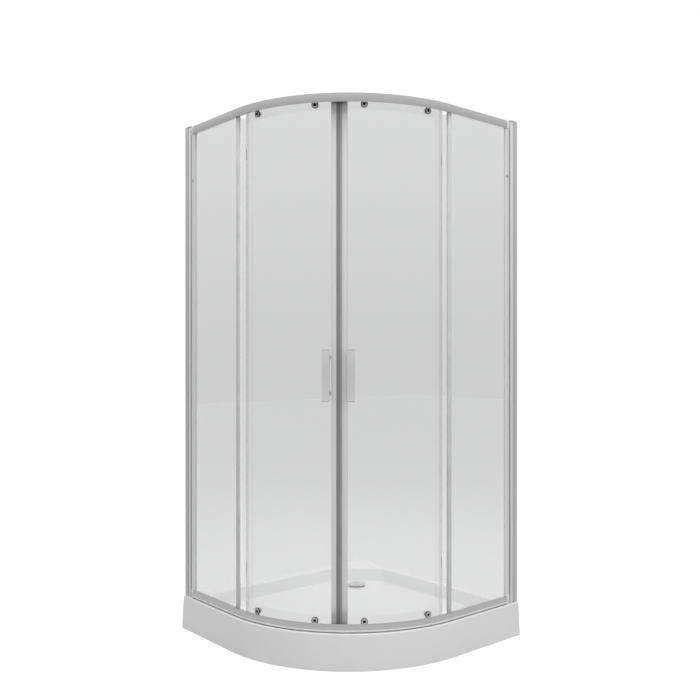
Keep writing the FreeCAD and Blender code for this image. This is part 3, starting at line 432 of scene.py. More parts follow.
def adopt(node, mesh, body, slot, replaces, angle=32.0, finish=None):
    """Object for a finished mesh, riding on its body in place of the named CAD nodes."""
    shade_mesh(mesh, angle)
    mesh.materials.clear()
    mesh.materials.append(MATERIALS[finish or slot])
    for face in mesh.polygons:
        face.material_index = 0
    made = new_object(node + "_finish", mesh)
    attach(made, body)
    if replaces:
        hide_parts(*replaces)
    return made


def adopt_pair(piece, mesh, body, slot, angle=32.0, finish=None, extra=False):
    """Left piece and its mirrored right twin; body may hold {side}.  An extra has no CAD node."""
    right = mirrored_mesh(mesh, "right_" + piece)
    for side, shape in (("left", mesh), ("right", right)):
        node = f"{side}_{piece}"
        adopt(node, shape, body.format(side=side), slot, [] if extra else [node], angle, finish)


def copied(node, width=0.0, segments=2):
    """Merged copy of a CAD node's mesh, with its sharp edges rounded if a width is given."""
    mesh = frame["nodes"][node].data.copy()
    work = bmesh.new()
    work.from_mesh(mesh)
    bmesh.ops.remove_doubles(work, verts=work.verts, dist=1e-5)
    bmesh.ops.dissolve_limit(
        work, angle_limit=math.radians(0.6), verts=work.verts, edges=work.edges)
    work.to_mesh(mesh)
    work.free()
    if width:
        mesh = bevelled(mesh, width, segments)
    return mesh


def adopt_copy(node, slot, width=0.0, segments=2, angle=32.0, finish=None):
    body = frame["nodes"][node]["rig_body"]
    adopt(node, copied(node, width, segments), body, slot, [node], angle, finish)


def at_front(mesh, degrees):
    """Turn a mesh, built at the arc's start, round the arc."""
    turn = Matrix.Translation(ARC_CENTRE) @ Matrix.Rotation(math.radians(degrees), 4, "Z")
    mesh.transform(turn @ Matrix.Translation(-ARC_CENTRE))
    return mesh


def track(run, offset, z):
    """Point at the arc's start: run along the front, offset inwards from the rails' face."""
    return Vector((ARC_CENTRE.x + run, FACE_Y + offset, z))


def block(work, low, high):
    """Box between two points of a bmesh."""
    made = bmesh.ops.create_cube(work, size=1.0)
    size = high - low
    bmesh.ops.scale(work, vec=size, verts=made["verts"])
    bmesh.ops.translate(work, vec=(low + high) / 2, verts=made["verts"])


def lathe(work, profile, base, axis, steps=48):
    """Surface of revolution from (radius, height) pairs along an axis from base."""
    tilt = Vector((0, 0, 1)).rotation_difference(Vector(axis)).to_matrix()
    rings = []
    for radius, height in profile:
        if not radius:
            rings.append([work.verts.new(Vector(base) + tilt @ Vector((0, 0, height)))])
            continue
        ring = []
        for step in range(steps):
            angle = 2 * math.pi * step / steps
            local = Vector((radius * math.cos(angle), radius * math.sin(angle), height))
            ring.append(work.verts.new(Vector(base) + tilt @ local))
        rings.append(ring)
    pairs = list(zip(rings, rings[1:]))
    if len(rings[0]) > 1 and len(rings[-1]) > 1:
        pairs.append((rings[-1], rings[0]))
    for one, two in pairs:
        for step in range(steps):
            after = (step + 1) % steps
            if len(one) == 1 and len(two) == 1:
                continue
            if len(one) == 1:
                work.faces.new((one[0], two[after], two[step]))
            elif len(two) == 1:
                work.faces.new((one[step], one[after], two[0]))
            else:
                work.faces.new((one[step], one[after], two[after], two[step]))


def rounded(points, radius, steps=4):
    """Closed outline with each corner rounded; a corner can give its own radius third."""
    outline = []
    count = len(points)
    for index, point in enumerate(points):
        corner = Vector(point[:2])
        reach = point[2] if len(point) > 2 else radius
        before = (Vector(points[index - 1][:2]) - corner)
        after = (Vector(points[(index + 1) % count][:2]) - corner)
        reach = min(reach, before.length * 0.45, after.length * 0.45)
        if reach <= 0:
            outline.append(corner)
            continue
        start = corner + before.normalized() * reach
        end = corner + after.normalized() * reach
        for step in range(steps + 1):
            part = step / steps
            outline.append(
                start * (1 - part) ** 2 + corner * 2 * part * (1 - part) + end * part ** 2)
    return outline


def extruded(work, outline, low, high):
    """Prism over an outline of (x, y) points between two heights."""
    bottom = [work.verts.new((point[0], point[1], low)) for point in outline]
    top = [work.verts.new((point[0], point[1], high)) for point in outline]
    count = len(outline)
    for index in range(count):
        after = (index + 1) % count
        work.faces.new((bottom[index], bottom[after], top[after], top[index]))
    work.faces.new(list(reversed(bottom)))
    work.faces.new(top)


# ------------------------------------------------------------------ geometry nodes
def new_tree(name, inputs):
    tree = bpy.data.node_groups.new(name, "GeometryNodeTree")
    tree.is_modifier = True
    tree.interface.new_socket("Geometry", in_out="INPUT", socket_type="NodeSocketGeometry")
    for label, kind, value in inputs:
        socket = tree.interface.new_socket(label, in_out="INPUT", socket_type=kind)
        if value is not None:
            socket.default_value = value
    tree.interface.new_socket("Geometry", in_out="OUTPUT", socket_type="NodeSocketGeometry")
    return tree


class Tree:
    """Short ways to add and join the nodes of one tree."""

    def __init__(self, name, inputs):
        self.tree = new_tree(name, inputs)
        self.input = self.tree.nodes.new("NodeGroupInput").outputs
        self.output = self.tree.nodes.new("NodeGroupOutput").inputs

    def add(self, kind, inputs=None, **settings):
        return add_node(self.tree, kind, inputs, **settings)

    def math(self, operation, one, two=0.0, three=0.0):
        made = self.add("ShaderNodeMath", {0: one, 1: two, 2: three}, operation=operation)
        return made.outputs[0]

    def vector(self, x, y, z):
        return self.add("ShaderNodeCombineXYZ", {0: x, 1: y, 2: z}).outputs[0]

    def finish(self, geometry):
        real = self.add("GeometryNodeRealizeInstances", {"Geometry": geometry})
        dressed = self.add("GeometryNodeSetMaterial", {
            "Geometry": real.outputs[0], "Material": self.input["Material"]})
        self.tree.links.new(dressed.outputs[0], self.output["Geometry"])
        return self.tree


def sweep_tree():
    """Sweeps a closed section along the front: a straight, an arc and a straight."""
    made = Tree("Sweep along the front", [
        ("Straight before", "NodeSocketFloat", 0.0),
        ("Straight after", "NodeSocketFloat", 0.0),
        ("First angle", "NodeSocketFloat", 0.0),
        ("Last angle", "NodeSocketFloat", 90.0),
        ("Radius", "NodeSocketFloat", FACE_RADIUS),
        ("Centre", "NodeSocketVector", ARC_CENTRE),
        ("Segments", "NodeSocketInt", 96),
        ("Material", "NodeSocketMaterial", None),
    ])
    ins = made.input
    first = made.math("RADIANS", ins["First angle"])
    swing = made.math("SUBTRACT", made.math("RADIANS", ins["Last angle"]), first)
    arc = made.math("MULTIPLY", swing, ins["Radius"])
    both = made.math("ADD", ins["Straight before"], ins["Straight after"])
    total = made.math("ADD", both, arc)
    line = made.add("GeometryNodeCurvePrimitiveLine")
    count = made.math("ADD", ins["Segments"], 1.0)
    points = made.add("GeometryNodeResampleCurve", {
        "Curve": line.outputs[0], "Count": count})
    factor = made.add("GeometryNodeSplineParameter").outputs["Factor"]
    length = made.math("MULTIPLY", factor, total)
    past_start = made.math("SUBTRACT", length, ins["Straight before"])
    on_arc = made.math("MINIMUM", made.math("MAXIMUM", past_start, 0.0), arc)
    off_arc = made.math("SUBTRACT", past_start, on_arc)
    angle = made.math("ADD", first, made.math("DIVIDE", on_arc, ins["Radius"]))
    sine = made.math("SINE", angle)
    cosine = made.math("COSINE", angle)
    x = made.math("ADD", made.math("MULTIPLY", sine, ins["Radius"]),
                  made.math("MULTIPLY", cosine, off_arc))
    y = made.math("SUBTRACT", made.math("MULTIPLY", sine, off_arc),
                  made.math("MULTIPLY", cosine, ins["Radius"]))
    place = made.add("ShaderNodeVectorMath", {
        0: made.vector(x, y, 0.0), 1: ins["Centre"]}, operation="ADD")
    path = made.add("GeometryNodeSetPosition", {
        "Geometry": points.outputs[0], "Position": place.outputs[0]})
    upright = made.add("GeometryNodeSetCurveNormal", {"Curve": path.outputs[0]}, mode="Z_UP")
    body = made.add("GeometryNodeCurveToMesh", {
        "Curve": upright.outputs[0], "Profile Curve": ins["Geometry"], "Fill Caps": True})
    return made.finish(body.outputs[0])


def roller_tree():
    """Sets a piece at a door's four roller places.

    The piece is modelled at the rails' face, over the lower rail's flange: x along the rail,
    y inwards, z up.  At the upper rail it is turned over.
    """
    made = Tree("Pieces at the rollers", [
        ("Rear angle", "NodeSocketFloat", ROLLER_ANGLES[0]),
        ("Front angle", "NodeSocketFloat", ROLLER_ANGLES[1]),
        ("Radius", "NodeSocketFloat", FACE_RADIUS),
        ("Centre", "NodeSocketVector", ARC_CENTRE),
        ("Lower flange", "NodeSocketFloat", RAIL_LOW.z),
        ("Upper flange", "NodeSocketFloat", TOP_RAIL_HIGH.z),
        ("Material", "NodeSocketMaterial", None),
    ])
    ins = made.input
    index = made.add("GeometryNodeInputIndex").outputs[0]
    front = made.math("MODULO", index, 2.0)
    lower = made.math("FLOOR", made.math("DIVIDE", index, 2.0))
    swing = made.math("SUBTRACT", ins["Front angle"], ins["Rear angle"])
    degrees = made.math("MULTIPLY_ADD", front, swing, ins["Rear angle"])
    angle = made.math("RADIANS", degrees)
    drop = made.math("SUBTRACT", ins["Lower flange"], ins["Upper flange"])
    height = made.math("MULTIPLY_ADD", lower, drop, ins["Upper flange"])
    x = made.math("MULTIPLY", made.math("SINE", angle), ins["Radius"])
    forwards = made.math("MULTIPLY", ins["Radius"], -1.0)
    y = made.math("MULTIPLY", made.math("COSINE", angle), forwards)
    place = made.add("ShaderNodeVectorMath", {
        0: made.vector(x, y, height), 1: ins["Centre"]}, operation="ADD")
    over = made.math("MULTIPLY", made.math("SUBTRACT", 1.0, lower), math.pi)
    spots = made.add("GeometryNodePoints", {
        "Count": 4, "Position": place.outputs[0]})
    turn = made.add("FunctionNodeEulerToRotation", {0: made.vector(0.0, over, angle)})
    copies = made.add("GeometryNodeInstanceOnPoints", {
        "Points": spots.outputs[0], "Instance": ins["Geometry"], "Rotation": turn.outputs[0]})
    return made.finish(copies.outputs[0])


TREES = {}


def through_tree(name, data, tree_name, inputs, slot):
    """Plain mesh that a tree makes of a curve or mesh; inputs go in by name."""
    tree = TREES[tree_name]
    helper = new_object(name + " work", data)
    modifier = helper.modifiers.new(tree_name, "NODES")
    modifier.node_group = tree
    identifiers = {
        item.name: item.identifier for item in tree.interface.items_tree
        if item.item_type == "SOCKET" and item.in_out == "INPUT"}
    for label, value in {**inputs, "Material": MATERIALS[slot]}.items():
        modifier[identifiers[label]] = value
    graph = bpy.context.evaluated_depsgraph_get()
    graph.update()
    made = bpy.data.meshes.new_from_object(helper.evaluated_get(graph))
    made.name = name
    bpy.data.objects.remove(helper)
    return made


def section_curve(name, outline):
    """Closed poly curve of (offset inwards, height) points."""
    curve = bpy.data.curves.new(name, "CURVE")
    curve.dimensions = "2D"
    curve.fill_mode = "NONE"
    spline = curve.splines.new("POLY")
    spline.points.add(len(outline) - 1)
    for point, (offset, height) in zip(spline.points, outline):
        point.co = (-offset, -height, 0.0, 1.0)
    spline.use_cyclic_u = True
    return curve


def swept(name, outline, slot, first=0.0, last=90.0, before=0.0, after=0.0, segments=None):
    """Section of (offset inwards, height z) points swept along the front."""
    mesh = through_tree(name, section_curve(name, outline), "sweep", {
        "Straight before": before, "Straight after": after, "First angle": first,
        "Last angle": last, "Segments": segments or sizes().path_segments}, slot)
    work = bmesh.new()
    work.from_mesh(mesh)
    close_up(work)
    work.to_mesh(mesh)
    work.free()
    return mesh


# ------------------------------------------------------------------ pieces
def rail_outline(flange, way):
    """Section of a rail; way is +1 for the lower rail and -1 for the upper one."""
    def bowed(steps, start, end, offset):
        """Bowed line between two heights, as far out as RAIL_BOW in its middle."""
        parts = [step / steps for step in range(steps + 1)]
        return [(offset - RAIL_BOW * (1 - (2 * part - 1) ** 2), start + (end - start) * part)
                for part in parts]

    face = bowed(18, RAIL_HEIGHT, 3.0, 0.0)
    inner = bowed(8, 4.8, RAIL_HEIGHT, RAIL_BOW)
    # From the foot of the face: flange, back lip, web with the track's ledge, glazing slot.
    points = [
        (3.0, 0.0), (50.0, 0.0), (50.0, 5.0), (48.6, 5.0), (48.6, 1.8), (14.0, 1.8),
        (14.0, 18.5), (28.0, 18.5), (28.0, 20.0), (12.6, 20.0), (12.6, 1.8), (5.4, 1.8),
        (5.4, 10.0), (4.0, 10.0), (4.0, 4.8)] + inner + face + [(3.0, 3.0)]
    return [(offset * MM, flange + way * height * MM) for offset, height in points]


def trim_outline(points):
    """Section of a trim along the foot of the lower rail's face."""
    return [(offset * MM, RAIL_LOW.z + height * MM) for offset, height in points]


def rail_end(work, flange, way):
    """Moulded piece between the side stile and a rail: rounded nose and stepped tail."""
    low, high = (edge - ARC_CENTRE.x for edge in (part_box("top_rail_ends")[0].x, RAIL_LOW.x))
    front = -RAIL_BOW * MM
    nose = rounded([
        track(low, front, 0)[:2] + (4.5 * MM,), track(high, front, 0)[:2] + (4.5 * MM,),
        track(high, 12.6 * MM, 0)[:2], track(low, 12.6 * MM, 0)[:2]], 0.4 * MM, 6)
    extruded(work, nose, *sorted((flange, flange + way * RAIL_HEIGHT * MM)))
    tail = [(12.0, 0.0), (50.0, 0.0), (50.0, 8.0), (26.0, 8.0), (26.0, 19.5),
            (13.0, RAIL_HEIGHT - 0.4)]
    sides = [
        [work.verts.new(track(run, offset * MM, flange + way * height * MM))
         for offset, height in tail] for run in (low, high)]
    for index in range(len(tail)):
        after = (index + 1) % len(tail)
        work.faces.new((sides[0][index], sides[0][after], sides[1][after], sides[1][index]))
    for side in sides:
        work.faces.new(side)


def build_rails():
    for name, flange, way in (("bottom_rail", RAIL_LOW.z, 1), ("top_rail", TOP_RAIL_HIGH.z, -1)):
        outline = rail_outline(flange, way)
        mesh = swept(name, outline, "rail_aluminium", before=RAIL_STRAIGHT, after=RAIL_STRAIGHT)
        adopt(name, mesh, "enclosure", "rail_aluminium", [name], 25.0)

        def both_ends(work):
            rail_end(work, flange, way)
            twin = mesh_from("twin end", lambda other: rail_end(other, flange, way))
            work.from_mesh(mirrored_mesh(twin, "twin end"))

        ends = name + "_ends"
        # The rail ends take the pale moulding instead of the grey: partly their own colour, partly
        # painted light that lifts the shade under the rails.
        mesh = bevelled(mesh_from(ends, both_ends), 0.3 * MM)
        adopt(ends, mesh, "enclosure", "grey_moulding", [ends], finish="pale_moulding_and_painted_light")
    for name, finish, points in (
            # Pale bead at the foot of the rail's face: partly a seal, partly a painted highlight.
            ("bottom_rail_highlight_bead", "pale_moulding_and_painted_light", [
                (0.6, 3.3), (-0.6, 3.3), (-2.0, 4.4), (-2.7, 6.2), (-2.7, 9.0), (-1.5, 9.8)]),
            # Dark strip in the gap under the rail's face: painted shadow.
            ("bottom_rail_shadow_strip", "dark_seal_and_painted_shade", [
                (2.9, 0.1), (0.1, 0.1), (-0.1, 0.4), (-0.1, 3.0), (2.9, 3.0)])):
        mesh = swept(name, trim_outline(points), finish,
                     before=RAIL_STRAIGHT, after=RAIL_STRAIGHT)
        adopt(name, mesh, "enclosure", "glazing_rubber", [], 60.0, finish)


def pane_outline(offset, low, high):
    """Upright section of a pane with its arrises ground off."""
    arris = sizes().glass_arris
    thick = GLASS_THICKNESS * MM
    return [
        (offset + arris, low), (offset + thick - arris, low), (offset + thick, low + arris),
        (offset + thick, high - arris), (offset + thick - arris, high), (offset + arris, high),
        (offset, high - arris), (offset, low + arris)]


def build_glass():
    arris = sizes().glass_arris
    offset = DOOR_OFFSET * MM
    radius = FACE_RADIUS - offset - GLASS_THICKNESS / 2 * MM
    first = math.degrees(DOOR_TAIL_GAP * MM / radius)
    last = MEETING_ANGLE - math.degrees(DOOR_MEETING_GAP * MM / radius)
    outline = pane_outline(offset, DOOR_LOW.z, DOOR_HIGH.z)
    mesh = swept("left door glass", outline, "clear_glass", first, last, segments=72)
    adopt_pair("door_glass", mesh, "{side}_door", "clear_glass", 20.0)

    def flat_pane(work):
        block(work, FIXED_LOW, FIXED_HIGH)

    pane = bevelled(mesh_from("left fixed glass", flat_pane), arris, 1)
    adopt_pair("fixed_glass", pane, "enclosure", "clear_glass", 20.0)


def glass_stile(work):
    """Stile that grips the wall edge of the fixed pane, with a wide round beside the glass."""
    low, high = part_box("left_glass_stile")
    reach = sizes().stile_round
    front, back = FIXED_LOW.y - 0.3 * MM, FIXED_HIGH.y + 0.3 * MM
    seat = low.x + 5 * MM
    lip = 5 * MM
    outline = rounded([
        (low.x, low.y, 1.5 * MM), (high.x - reach, low.y, 2.8 * MM),
        (high.x, low.y + reach, 2.8 * MM), (high.x, front, 0), (seat, front, 0), (seat, back, 0),
        (seat + lip, back, 0), (seat + lip, high.y, 1 * MM), (low.x, high.y, 1 * MM)],
        0, 6)
    extruded(work, outline, low.z, high.z)


def stile_groove_shade(work):
    """Dark strip in the groove between the side stile and the glass stile: painted shade of the
    groove.
    """
    low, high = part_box("left_glass_stile")
    block(work, Vector((low.x - 4.6 * MM, FIXED_LOW.y - 0.2 * MM, low.z)),
          Vector((low.x, FIXED_LOW.y + 3.9 * MM, high.z)))


def build_frame():
    """Wall profiles, stiles, caps and closing stiles."""
    mesh = mesh_from("glass stile", glass_stile)
    adopt_pair("glass_stile", mesh, "enclosure", "stile_aluminium", 40.0)
    # Strips of painted shade in the grooves beside the glass stiles.
    mesh = mesh_from("stile groove shade", stile_groove_shade)
    adopt_pair("stile_groove_shade", mesh, "enclosure", "seal_plastic", finish="painted_groove_shade", extra=True)
    for side in LEFT_RIGHT:
        for piece in ("side_stile", "closing_stile"):
            adopt_copy(f"{side}_{piece}", "stile_aluminium", sizes().edge_round)
        adopt_copy(f"{side}_wall_profile", "stile_aluminium", sizes().edge_round,
                   finish="profile_aluminium")
        adopt_copy(f"{side}_profile_cap", "grey_moulding", sizes().edge_round)


def build_seals():
    for side in LEFT_RIGHT:
        adopt_copy(f"{side}_fixed_edge_strip", "glazing_rubber", 0.25 * MM)
        adopt_copy(f"{side}_glazing_strips", "glazing_rubber")
        # The left magnet strip is drawn darker than the right one: painted shade.
        adopt_copy(f"{side}_magnet_strip", "seal_plastic", 0.4 * MM,
                   finish="dark_seal_and_painted_shade" if side == "left" else None)
        adopt_copy(f"{side}_tail_seal", "seal_plastic", finish="clear_seal")


def build_tray():
    adopt_copy("tray_shell", "tray_acrylic", angle=40.0)
    adopt_copy("tray_base_board", "board", 1.0 * MM)
    adopt_copy("tray_feet", "zinc_steel")
    adopt_copy("tray_foot_nuts", "zinc_steel", 0.6 * MM)


def build_waste():
    adopt_copy("drain_cover", "drain_chrome", 0.4 * MM, 3)
    adopt_copy("drain_flange", "drain_chrome", 0.4 * MM)
    adopt_copy("drain_cup", "trap_plastic", 0.3 * MM)
    adopt_copy("trap_body", "trap_plastic", 0.6 * MM)
    adopt_copy("trap_outlet_nut", "trap_plastic", 0.5 * MM)
    adopt_copy("trap_gasket", "black_rubber")


def handle_plate(work):
    aside, rise = HANDLE_WIDTH / 2 * MM, HANDLE_LENGTH / 2 * MM
    block(work, track(-aside, 3.0 * MM, HANDLE_MIDDLE - rise),
          track(aside, 9.0 * MM, HANDLE_MIDDLE + rise))


def handle_post(work, z):
    profile = [
        (0.0, 8.5), (7.0, 8.5), (7.0, 37.6), (7.6, 38.0), (7.6, 39.7), (7.1, 40.2), (3.0, 40.2),
        (3.0, 49.3), (0.0, 49.3)]
    base = track(0, 0, z)
    lathe(work, [(radius * MM, height * MM) for radius, height in profile], base, (0, 1, 0))


def build_handles():
    """Plates on two posts, with dark inserts at both ends of each plate: painted shade along the
    end edges.
    """
    plate = bevelled(mesh_from("plate", handle_plate), sizes().plate_round, 4)
    aside, reach = (HANDLE_WIDTH / 2 - 0.2) * MM, HANDLE_LENGTH / 2

    def whole(work):
        work.from_mesh(plate)
        for rise in (-HANDLE_POST_RISE, HANDLE_POST_RISE):
            handle_post(work, HANDLE_MIDDLE + rise * MM)

    # Dark inserts at the plate ends: painted shade along the end edges.
    def ends(work):
        for low, high in ((-reach, 2.0 - reach), (reach - 2.0, reach)):
            block(work, track(-aside, 2.85 * MM, HANDLE_MIDDLE + low * MM),
                  track(aside, 8.8 * MM, HANDLE_MIDDLE + high * MM))

    mesh = at_front(mesh_from("left handle", whole), HANDLE_ANGLE)
    adopt_pair("handle", mesh, "{side}_door", "handle_chrome")
    mesh = at_front(bevelled(mesh_from("handle end shade", ends), 0.4 * MM), HANDLE_ANGLE)
    adopt_pair("handle_end_shade", mesh, "{side}_door", "seal_plastic", extra=True)
    for side in LEFT_RIGHT:
        adopt_copy(f"{side}_handle_fixings", "handle_chrome", 0.3 * MM)


def plate_reach(angle, inset):
    """From the hub's middle to the rim of the shield plate, in mm, at an angle from the run."""
    reach = 0.0
    steps = 24
    for step in range(steps + 1):
        drop = (HUB_HEIGHT - AXLE_HEIGHT) * step / steps
        radius = 12.0 - 7.0 * step / steps - inset
        aside = math.cos(angle) * drop
        if radius > abs(aside):
            reach = max(reach, math.sqrt(radius ** 2 - aside ** 2) - math.sin(angle) * drop)
    return reach


def roller_plate(work):
    """Shield plate with its socket, and the wheel pin with its boss and head."""
    steps = 48
    rings = []
    for radius, inset, offset in (
            (0, 0, 40.0), (0, 0, 37.7), (0, 0.2, 37.2), (0, 0.7, 37.0),
            (5.0, 0, 37.0), (5.0, 0, 38.8), (3.1, 0, 38.8), (3.1, 0, 40.0)):
        ring = []
        for step in range(steps):
            angle = 2 * math.pi * step / steps
            reach = radius or plate_reach(angle, inset)
            ring.append(work.verts.new((
                reach * math.cos(angle) * MM, offset * MM,
                (HUB_HEIGHT + reach * math.sin(angle)) * MM)))
        rings.append(ring)
    for one, two in zip(rings, rings[1:] + rings[:1]):
        for step in range(steps):
            after = (step + 1) % steps
            work.faces.new((one[step], one[after], two[after], two[step]))
    axle = [(0, 22.2), (2.9, 22.2), (3.2, 22.5), (3.2, 23.3), (2.0, 23.3), (2.0, 32.0),
            (3.5, 32.0), (3.5, 38.0), (0, 38.0)]
    lathe(work, [(radius * MM, offset * MM) for radius, offset in axle],
          (0, 0, AXLE_HEIGHT * MM), (0, 1, 0), 24)


def hub_piece(*profiles):
    """Function that turns (radius, offset inwards) profiles in mm about the hub's axis."""
    def build(work):
        for profile in profiles:
            lathe(work, [(radius * MM, offset * MM) for radius, offset in profile],
                  (0, 0, HUB_HEIGHT * MM), (0, 1, 0), 36)

    return build


ROLLER_PIECES = [
    # Plates smoked dark round the pale discs: the dark ring is partly painted shade of the hub's
    # groove.
    ("roller_plates", "handle_chrome", "smoked_chrome_and_shade", roller_plate),
    ("roller_discs", "handle_chrome", "pale_moulding_and_painted_light", hub_piece(
        [(5.3, 37.1), (5.3, 36.8), (5.6, 36.6), (8.9, 36.6), (9.3, 36.9), (9.3, 37.1)])),
    ("roller_bolts", "zinc_steel", "black_steel", hub_piece(
        [(0, 38.3), (1.6, 38.3), (1.6, 37.3), (4.1, 37.3), (4.6, 37.8), (4.6, 38.8),
         (3.0, 38.8), (3.0, 52.0), (0, 52.0)])),
    ("roller_washers", "seal_plastic", "dark_seal_and_painted_shade", hub_piece(
        [(3.1, 40.0), (9.0, 40.0), (9.0, 41.0), (3.1, 41.0)],
        [(3.1, 46.1), (9.0, 46.1), (9.0, 47.1), (3.1, 47.1)])),
    ("roller_caps", "handle_chrome", "handle_chrome", hub_piece(
        [(3.1, 47.1), (9.8, 47.1), (10.0, 47.3), (10.0, 53.0), (9.4, 54.3), (8.0, 55.1),
         (6.0, 55.1), (0, 53.6), (0, 52.3), (3.1, 52.3)])),
]


def build_rollers():
    for piece, slot, finish, build in ROLLER_PIECES:
        mesh = through_tree(piece, mesh_from(piece, build), "rollers", {}, finish)
        adopt_pair(piece, mesh, "{side}_door", slot, 32.0, finish, piece == "roller_discs")
    for side in LEFT_RIGHT:
        for place in ("rear_top", "front_top", "rear_bottom", "front_bottom"):
            adopt_copy(f"{side}_{place}_wheel", "wheel_nylon")


def build_screws():
    adopt_copy("rail_end_screws", "zinc_steel")
    adopt_copy("stile_screws", "zinc_steel")
    adopt_copy("glass_clamp_screws", "zinc_steel")
    adopt_copy("door_stops", "black_rubber", 0.5 * MM)


# ------------------------------------------------------------------ stage
def build_floor():
    """Pale floor that looks as white as the background and keeps the shadow."""
    def plane(work):
        bmesh.ops.create_grid(work, x_segments=1, y_segments=1, size=14.0)

    floor = new_object("floor", mesh_from("floor", plane))
    finish = Finish("pale floor", (0.40, 0.40, 0.40), 0.9)
    path = finish.node("ShaderNodeLightPath")
    around = finish.node("ShaderNodeMath", {
        0: path.outputs["Is Transmission Ray"], 1: path.outputs["Is Glossy Ray"]},
        operation="MAXIMUM")
    dimmed = finish.node("ShaderNodeMath", {
        0: around.outputs[0], 1: FLOOR_SHINE_BEYOND}, operation="MULTIPLY")
    shown = finish.node("ShaderNodeMath", {
        0: path.outputs["Is Camera Ray"], 1: FLOOR_SHINE, 2: dimmed.outputs[0]},
        operation="MULTIPLY_ADD")
    glow = finish.node("ShaderNodeEmission", {
        "Color": (1, 1, 1, 1), "Strength": shown.outputs[0]})
    total = finish.node("ShaderNodeAddShader", {
        0: finish.shader.outputs[0], 1: glow.outputs[0]})
    finish.surface(total.outputs[0])
    floor.data.materials.append(finish.material)
    floor.location.z = -0.001


def build_world():
    """White behind the object, and a pale room around it for glass, metal and light."""
    world = bpy.data.worlds.new("studio")
    bpy.context.scene.world = world
    world.use_nodes = True
    tree = world.node_tree
    path = add_node(tree, "ShaderNodeLightPath").outputs
    direction = add_node(tree, "ShaderNodeTexCoord").outputs["Generated"]
    height = add_node(tree, "ShaderNodeSeparateXYZ", {0: direction}).outputs["Z"]
    room = add_node(tree, "ShaderNodeMapRange", {
        "Value": height, "From Min": 0.0, "From Max": 0.3, "To Min": 0.70, "To Max": 0.80},
        interpolation_type="SMOOTHSTEP")
    around = add_node(tree, "ShaderNodeMath", {
        0: path["Is Glossy Ray"], 1: path["Is Transmission Ray"]}, operation="MAXIMUM")
    strength = add_node(tree, "ShaderNodeMix", {
        "Factor": around.outputs[0], "A": ROOM_LIGHT, "B": room.outputs["Result"]})
    shown = add_node(tree, "ShaderNodeMath", {
        0: strength.outputs["Result"], 1: path["Is Camera Ray"]}, operation="MAXIMUM")
    light = tree.nodes["Background"]
    light.inputs["Color"].default_value = (1.0, 1.0, 1.0, 1.0)
    tree.links.new(shown.outputs[0], light.inputs["Strength"])


def area_lamp(name, place, target, size, power):
    data = bpy.data.lights.new(name, "AREA")
    data.shape = "DISK"
    data.size = size
    data.energy = power
    lamp = bpy.data.objects.new(name, data)
    bpy.context.scene.collection.objects.link(lamp)
    lamp.location = place
    aim = Vector(target) - Vector(place)
    lamp.rotation_euler = aim.to_track_quat("-Z", "Y").to_euler()
    lamp.visible_camera = False
    lamp.visible_glossy = False
    lamp.visible_transmission = False


def build_camera():
    """Level camera in front of the round corner."""
    data = bpy.data.cameras.new("camera")
    data.sensor_width = SENSOR_WIDTH
    data.lens = SENSOR_WIDTH * FOCAL_LENGTH / PICTURE_SIZE
    data.shift_x = (PICTURE_SIZE / 2 - VIEW_CENTRE[0]) / PICTURE_SIZE
    data.shift_y = (VIEW_CENTRE[1] - PICTURE_SIZE / 2) / PICTURE_SIZE
    data.clip_end = 60.0
    camera = bpy.data.objects.new("camera", data)
    bpy.context.scene.collection.objects.link(camera)
    camera.location = (2.4138, -2.0182, 1.0270)
    off_diagonal = 0.0665
    camera.rotation_euler = (math.pi / 2, 0.0, math.pi / 4 + off_diagonal)
    bpy.context.scene.camera = camera


def build_stage():
    scene = bpy.context.scene
    scene.view_settings.view_transform = "Standard"
    build_floor()
    build_world()
    area_lamp("overhead", place=(0.2, -0.2, 3.6), target=(0.0, 0.0, 0.0), size=2.6, power=62.0)
    area_lamp("right front", place=(3.2, -0.6, 1.8), target=(0.0, 0.0, 0.9), size=1.8, power=16.0)
    build_camera()


# ------------------------------------------------------------------ operators
class ENCLOSURE_OT_rails(bpy.types.Operator):
    """Bent rails and their end pieces"""

    bl_idname = "enclosure.rails"
    bl_label = "Rails"

    def execute(self, context):
        build_rails()
        return {"FINISHED"}


class ENCLOSURE_OT_glass(bpy.types.Operator):
    """Curved doors and flat fixed panes"""

    bl_idname = "enclosure.glass"
    bl_label = "Glass"

    def execute(self, context):
        build_glass()
        return {"FINISHED"}


class ENCLOSURE_OT_uprights(bpy.types.Operator):
    """Wall profiles, stiles and caps"""

    bl_idname = "enclosure.uprights"
    bl_label = "Uprights"

    def execute(self, context):
        build_frame()
        return {"FINISHED"}


class ENCLOSURE_OT_seals(bpy.types.Operator):
    """Edge strips, glazing strips and seals"""

    bl_idname = "enclosure.seals"
    bl_label = "Seals"

    def execute(self, context):
        build_seals()
        return {"FINISHED"}


class ENCLOSURE_OT_tray(bpy.types.Operator):
    """Tray with its board and feet"""

    bl_idname = "enclosure.tray"
    bl_label = "Tray"

    def execute(self, context):
        build_tray()
        return {"FINISHED"}


class ENCLOSURE_OT_waste(bpy.types.Operator):
    """Drain cover, cup and trap"""

    bl_idname = "enclosure.waste"
    bl_label = "Waste"

    def execute(self, context):
        build_waste()
        return {"FINISHED"}


class ENCLOSURE_OT_handles(bpy.types.Operator):
    """Door handles with their fixings"""

    bl_idname = "enclosure.handles"
    bl_label = "Handles"

    def execute(self, context):
        build_handles()
        return {"FINISHED"}


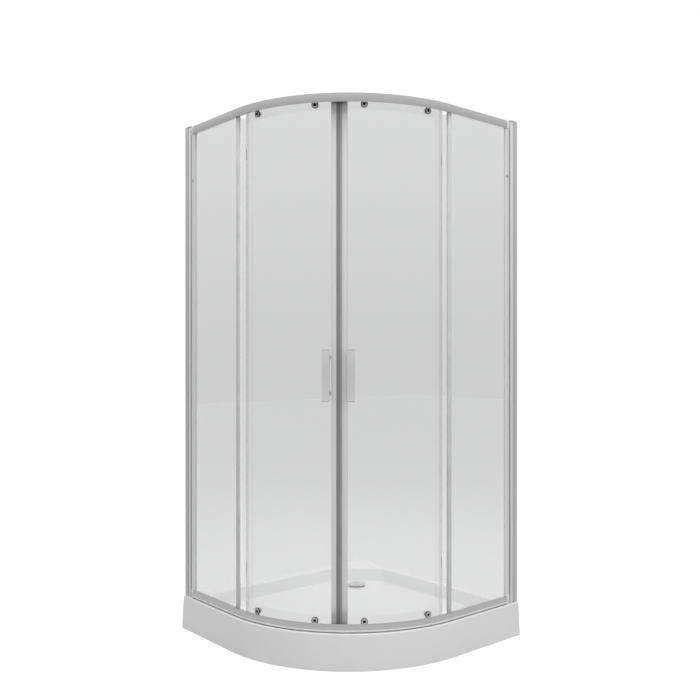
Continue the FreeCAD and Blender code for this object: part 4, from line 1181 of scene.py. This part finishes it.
class ENCLOSURE_OT_rollers(bpy.types.Operator):
    """Running gear of both doors"""

    bl_idname = "enclosure.rollers"
    bl_label = "Rollers"

    def execute(self, context):
        build_rollers()
        return {"FINISHED"}


class ENCLOSURE_OT_screws(bpy.types.Operator):
    """Screws and door stops"""

    bl_idname = "enclosure.screws"
    bl_label = "Screws"

    def execute(self, context):
        build_screws()
        return {"FINISHED"}


class ENCLOSURE_OT_stage(bpy.types.Operator):
    """Floor, light and camera"""

    bl_idname = "enclosure.stage"
    bl_label = "Stage"

    def execute(self, context):
        build_stage()
        return {"FINISHED"}


OPERATORS = [
    ENCLOSURE_OT_rails, ENCLOSURE_OT_glass, ENCLOSURE_OT_uprights, ENCLOSURE_OT_seals,
    ENCLOSURE_OT_tray, ENCLOSURE_OT_waste, ENCLOSURE_OT_handles, ENCLOSURE_OT_rollers,
    ENCLOSURE_OT_screws, ENCLOSURE_OT_stage,
]


class ENCLOSURE_PT_panel(bpy.types.Panel):
    """Sidebar panel with the sizes, the colours and the building steps"""

    bl_label = "Shower enclosure"
    bl_idname = "ENCLOSURE_PT_panel"
    bl_space_type = "VIEW_3D"
    bl_region_type = "UI"
    bl_category = "Enclosure"

    def draw(self, context):
        column = self.layout.column()
        for group in (sizes(), colours()):
            for name in group.__annotations__:
                column.prop(group, name)
        for made in OPERATORS:
            column.operator(made.bl_idname)


CLASSES = [EnclosureSizes, EnclosureColours, *OPERATORS, ENCLOSURE_PT_panel]


def register():
    for made in CLASSES:
        bpy.utils.register_class(made)
    bpy.types.Scene.enclosure_sizes = PointerProperty(type=EnclosureSizes)
    bpy.types.Scene.enclosure_colours = PointerProperty(type=EnclosureColours)


def unregister():
    del bpy.types.Scene.enclosure_colours
    del bpy.types.Scene.enclosure_sizes
    for made in reversed(CLASSES):
        bpy.utils.unregister_class(made)


def main():
    register()
    MATERIALS.update(make_materials())
    TREES.update(sweep=sweep_tree(), rollers=roller_tree())
    for made in OPERATORS:
        category, name = made.bl_idname.split(".")
        getattr(getattr(bpy.ops, category), name)()


if __name__ == "__main__":
    main()
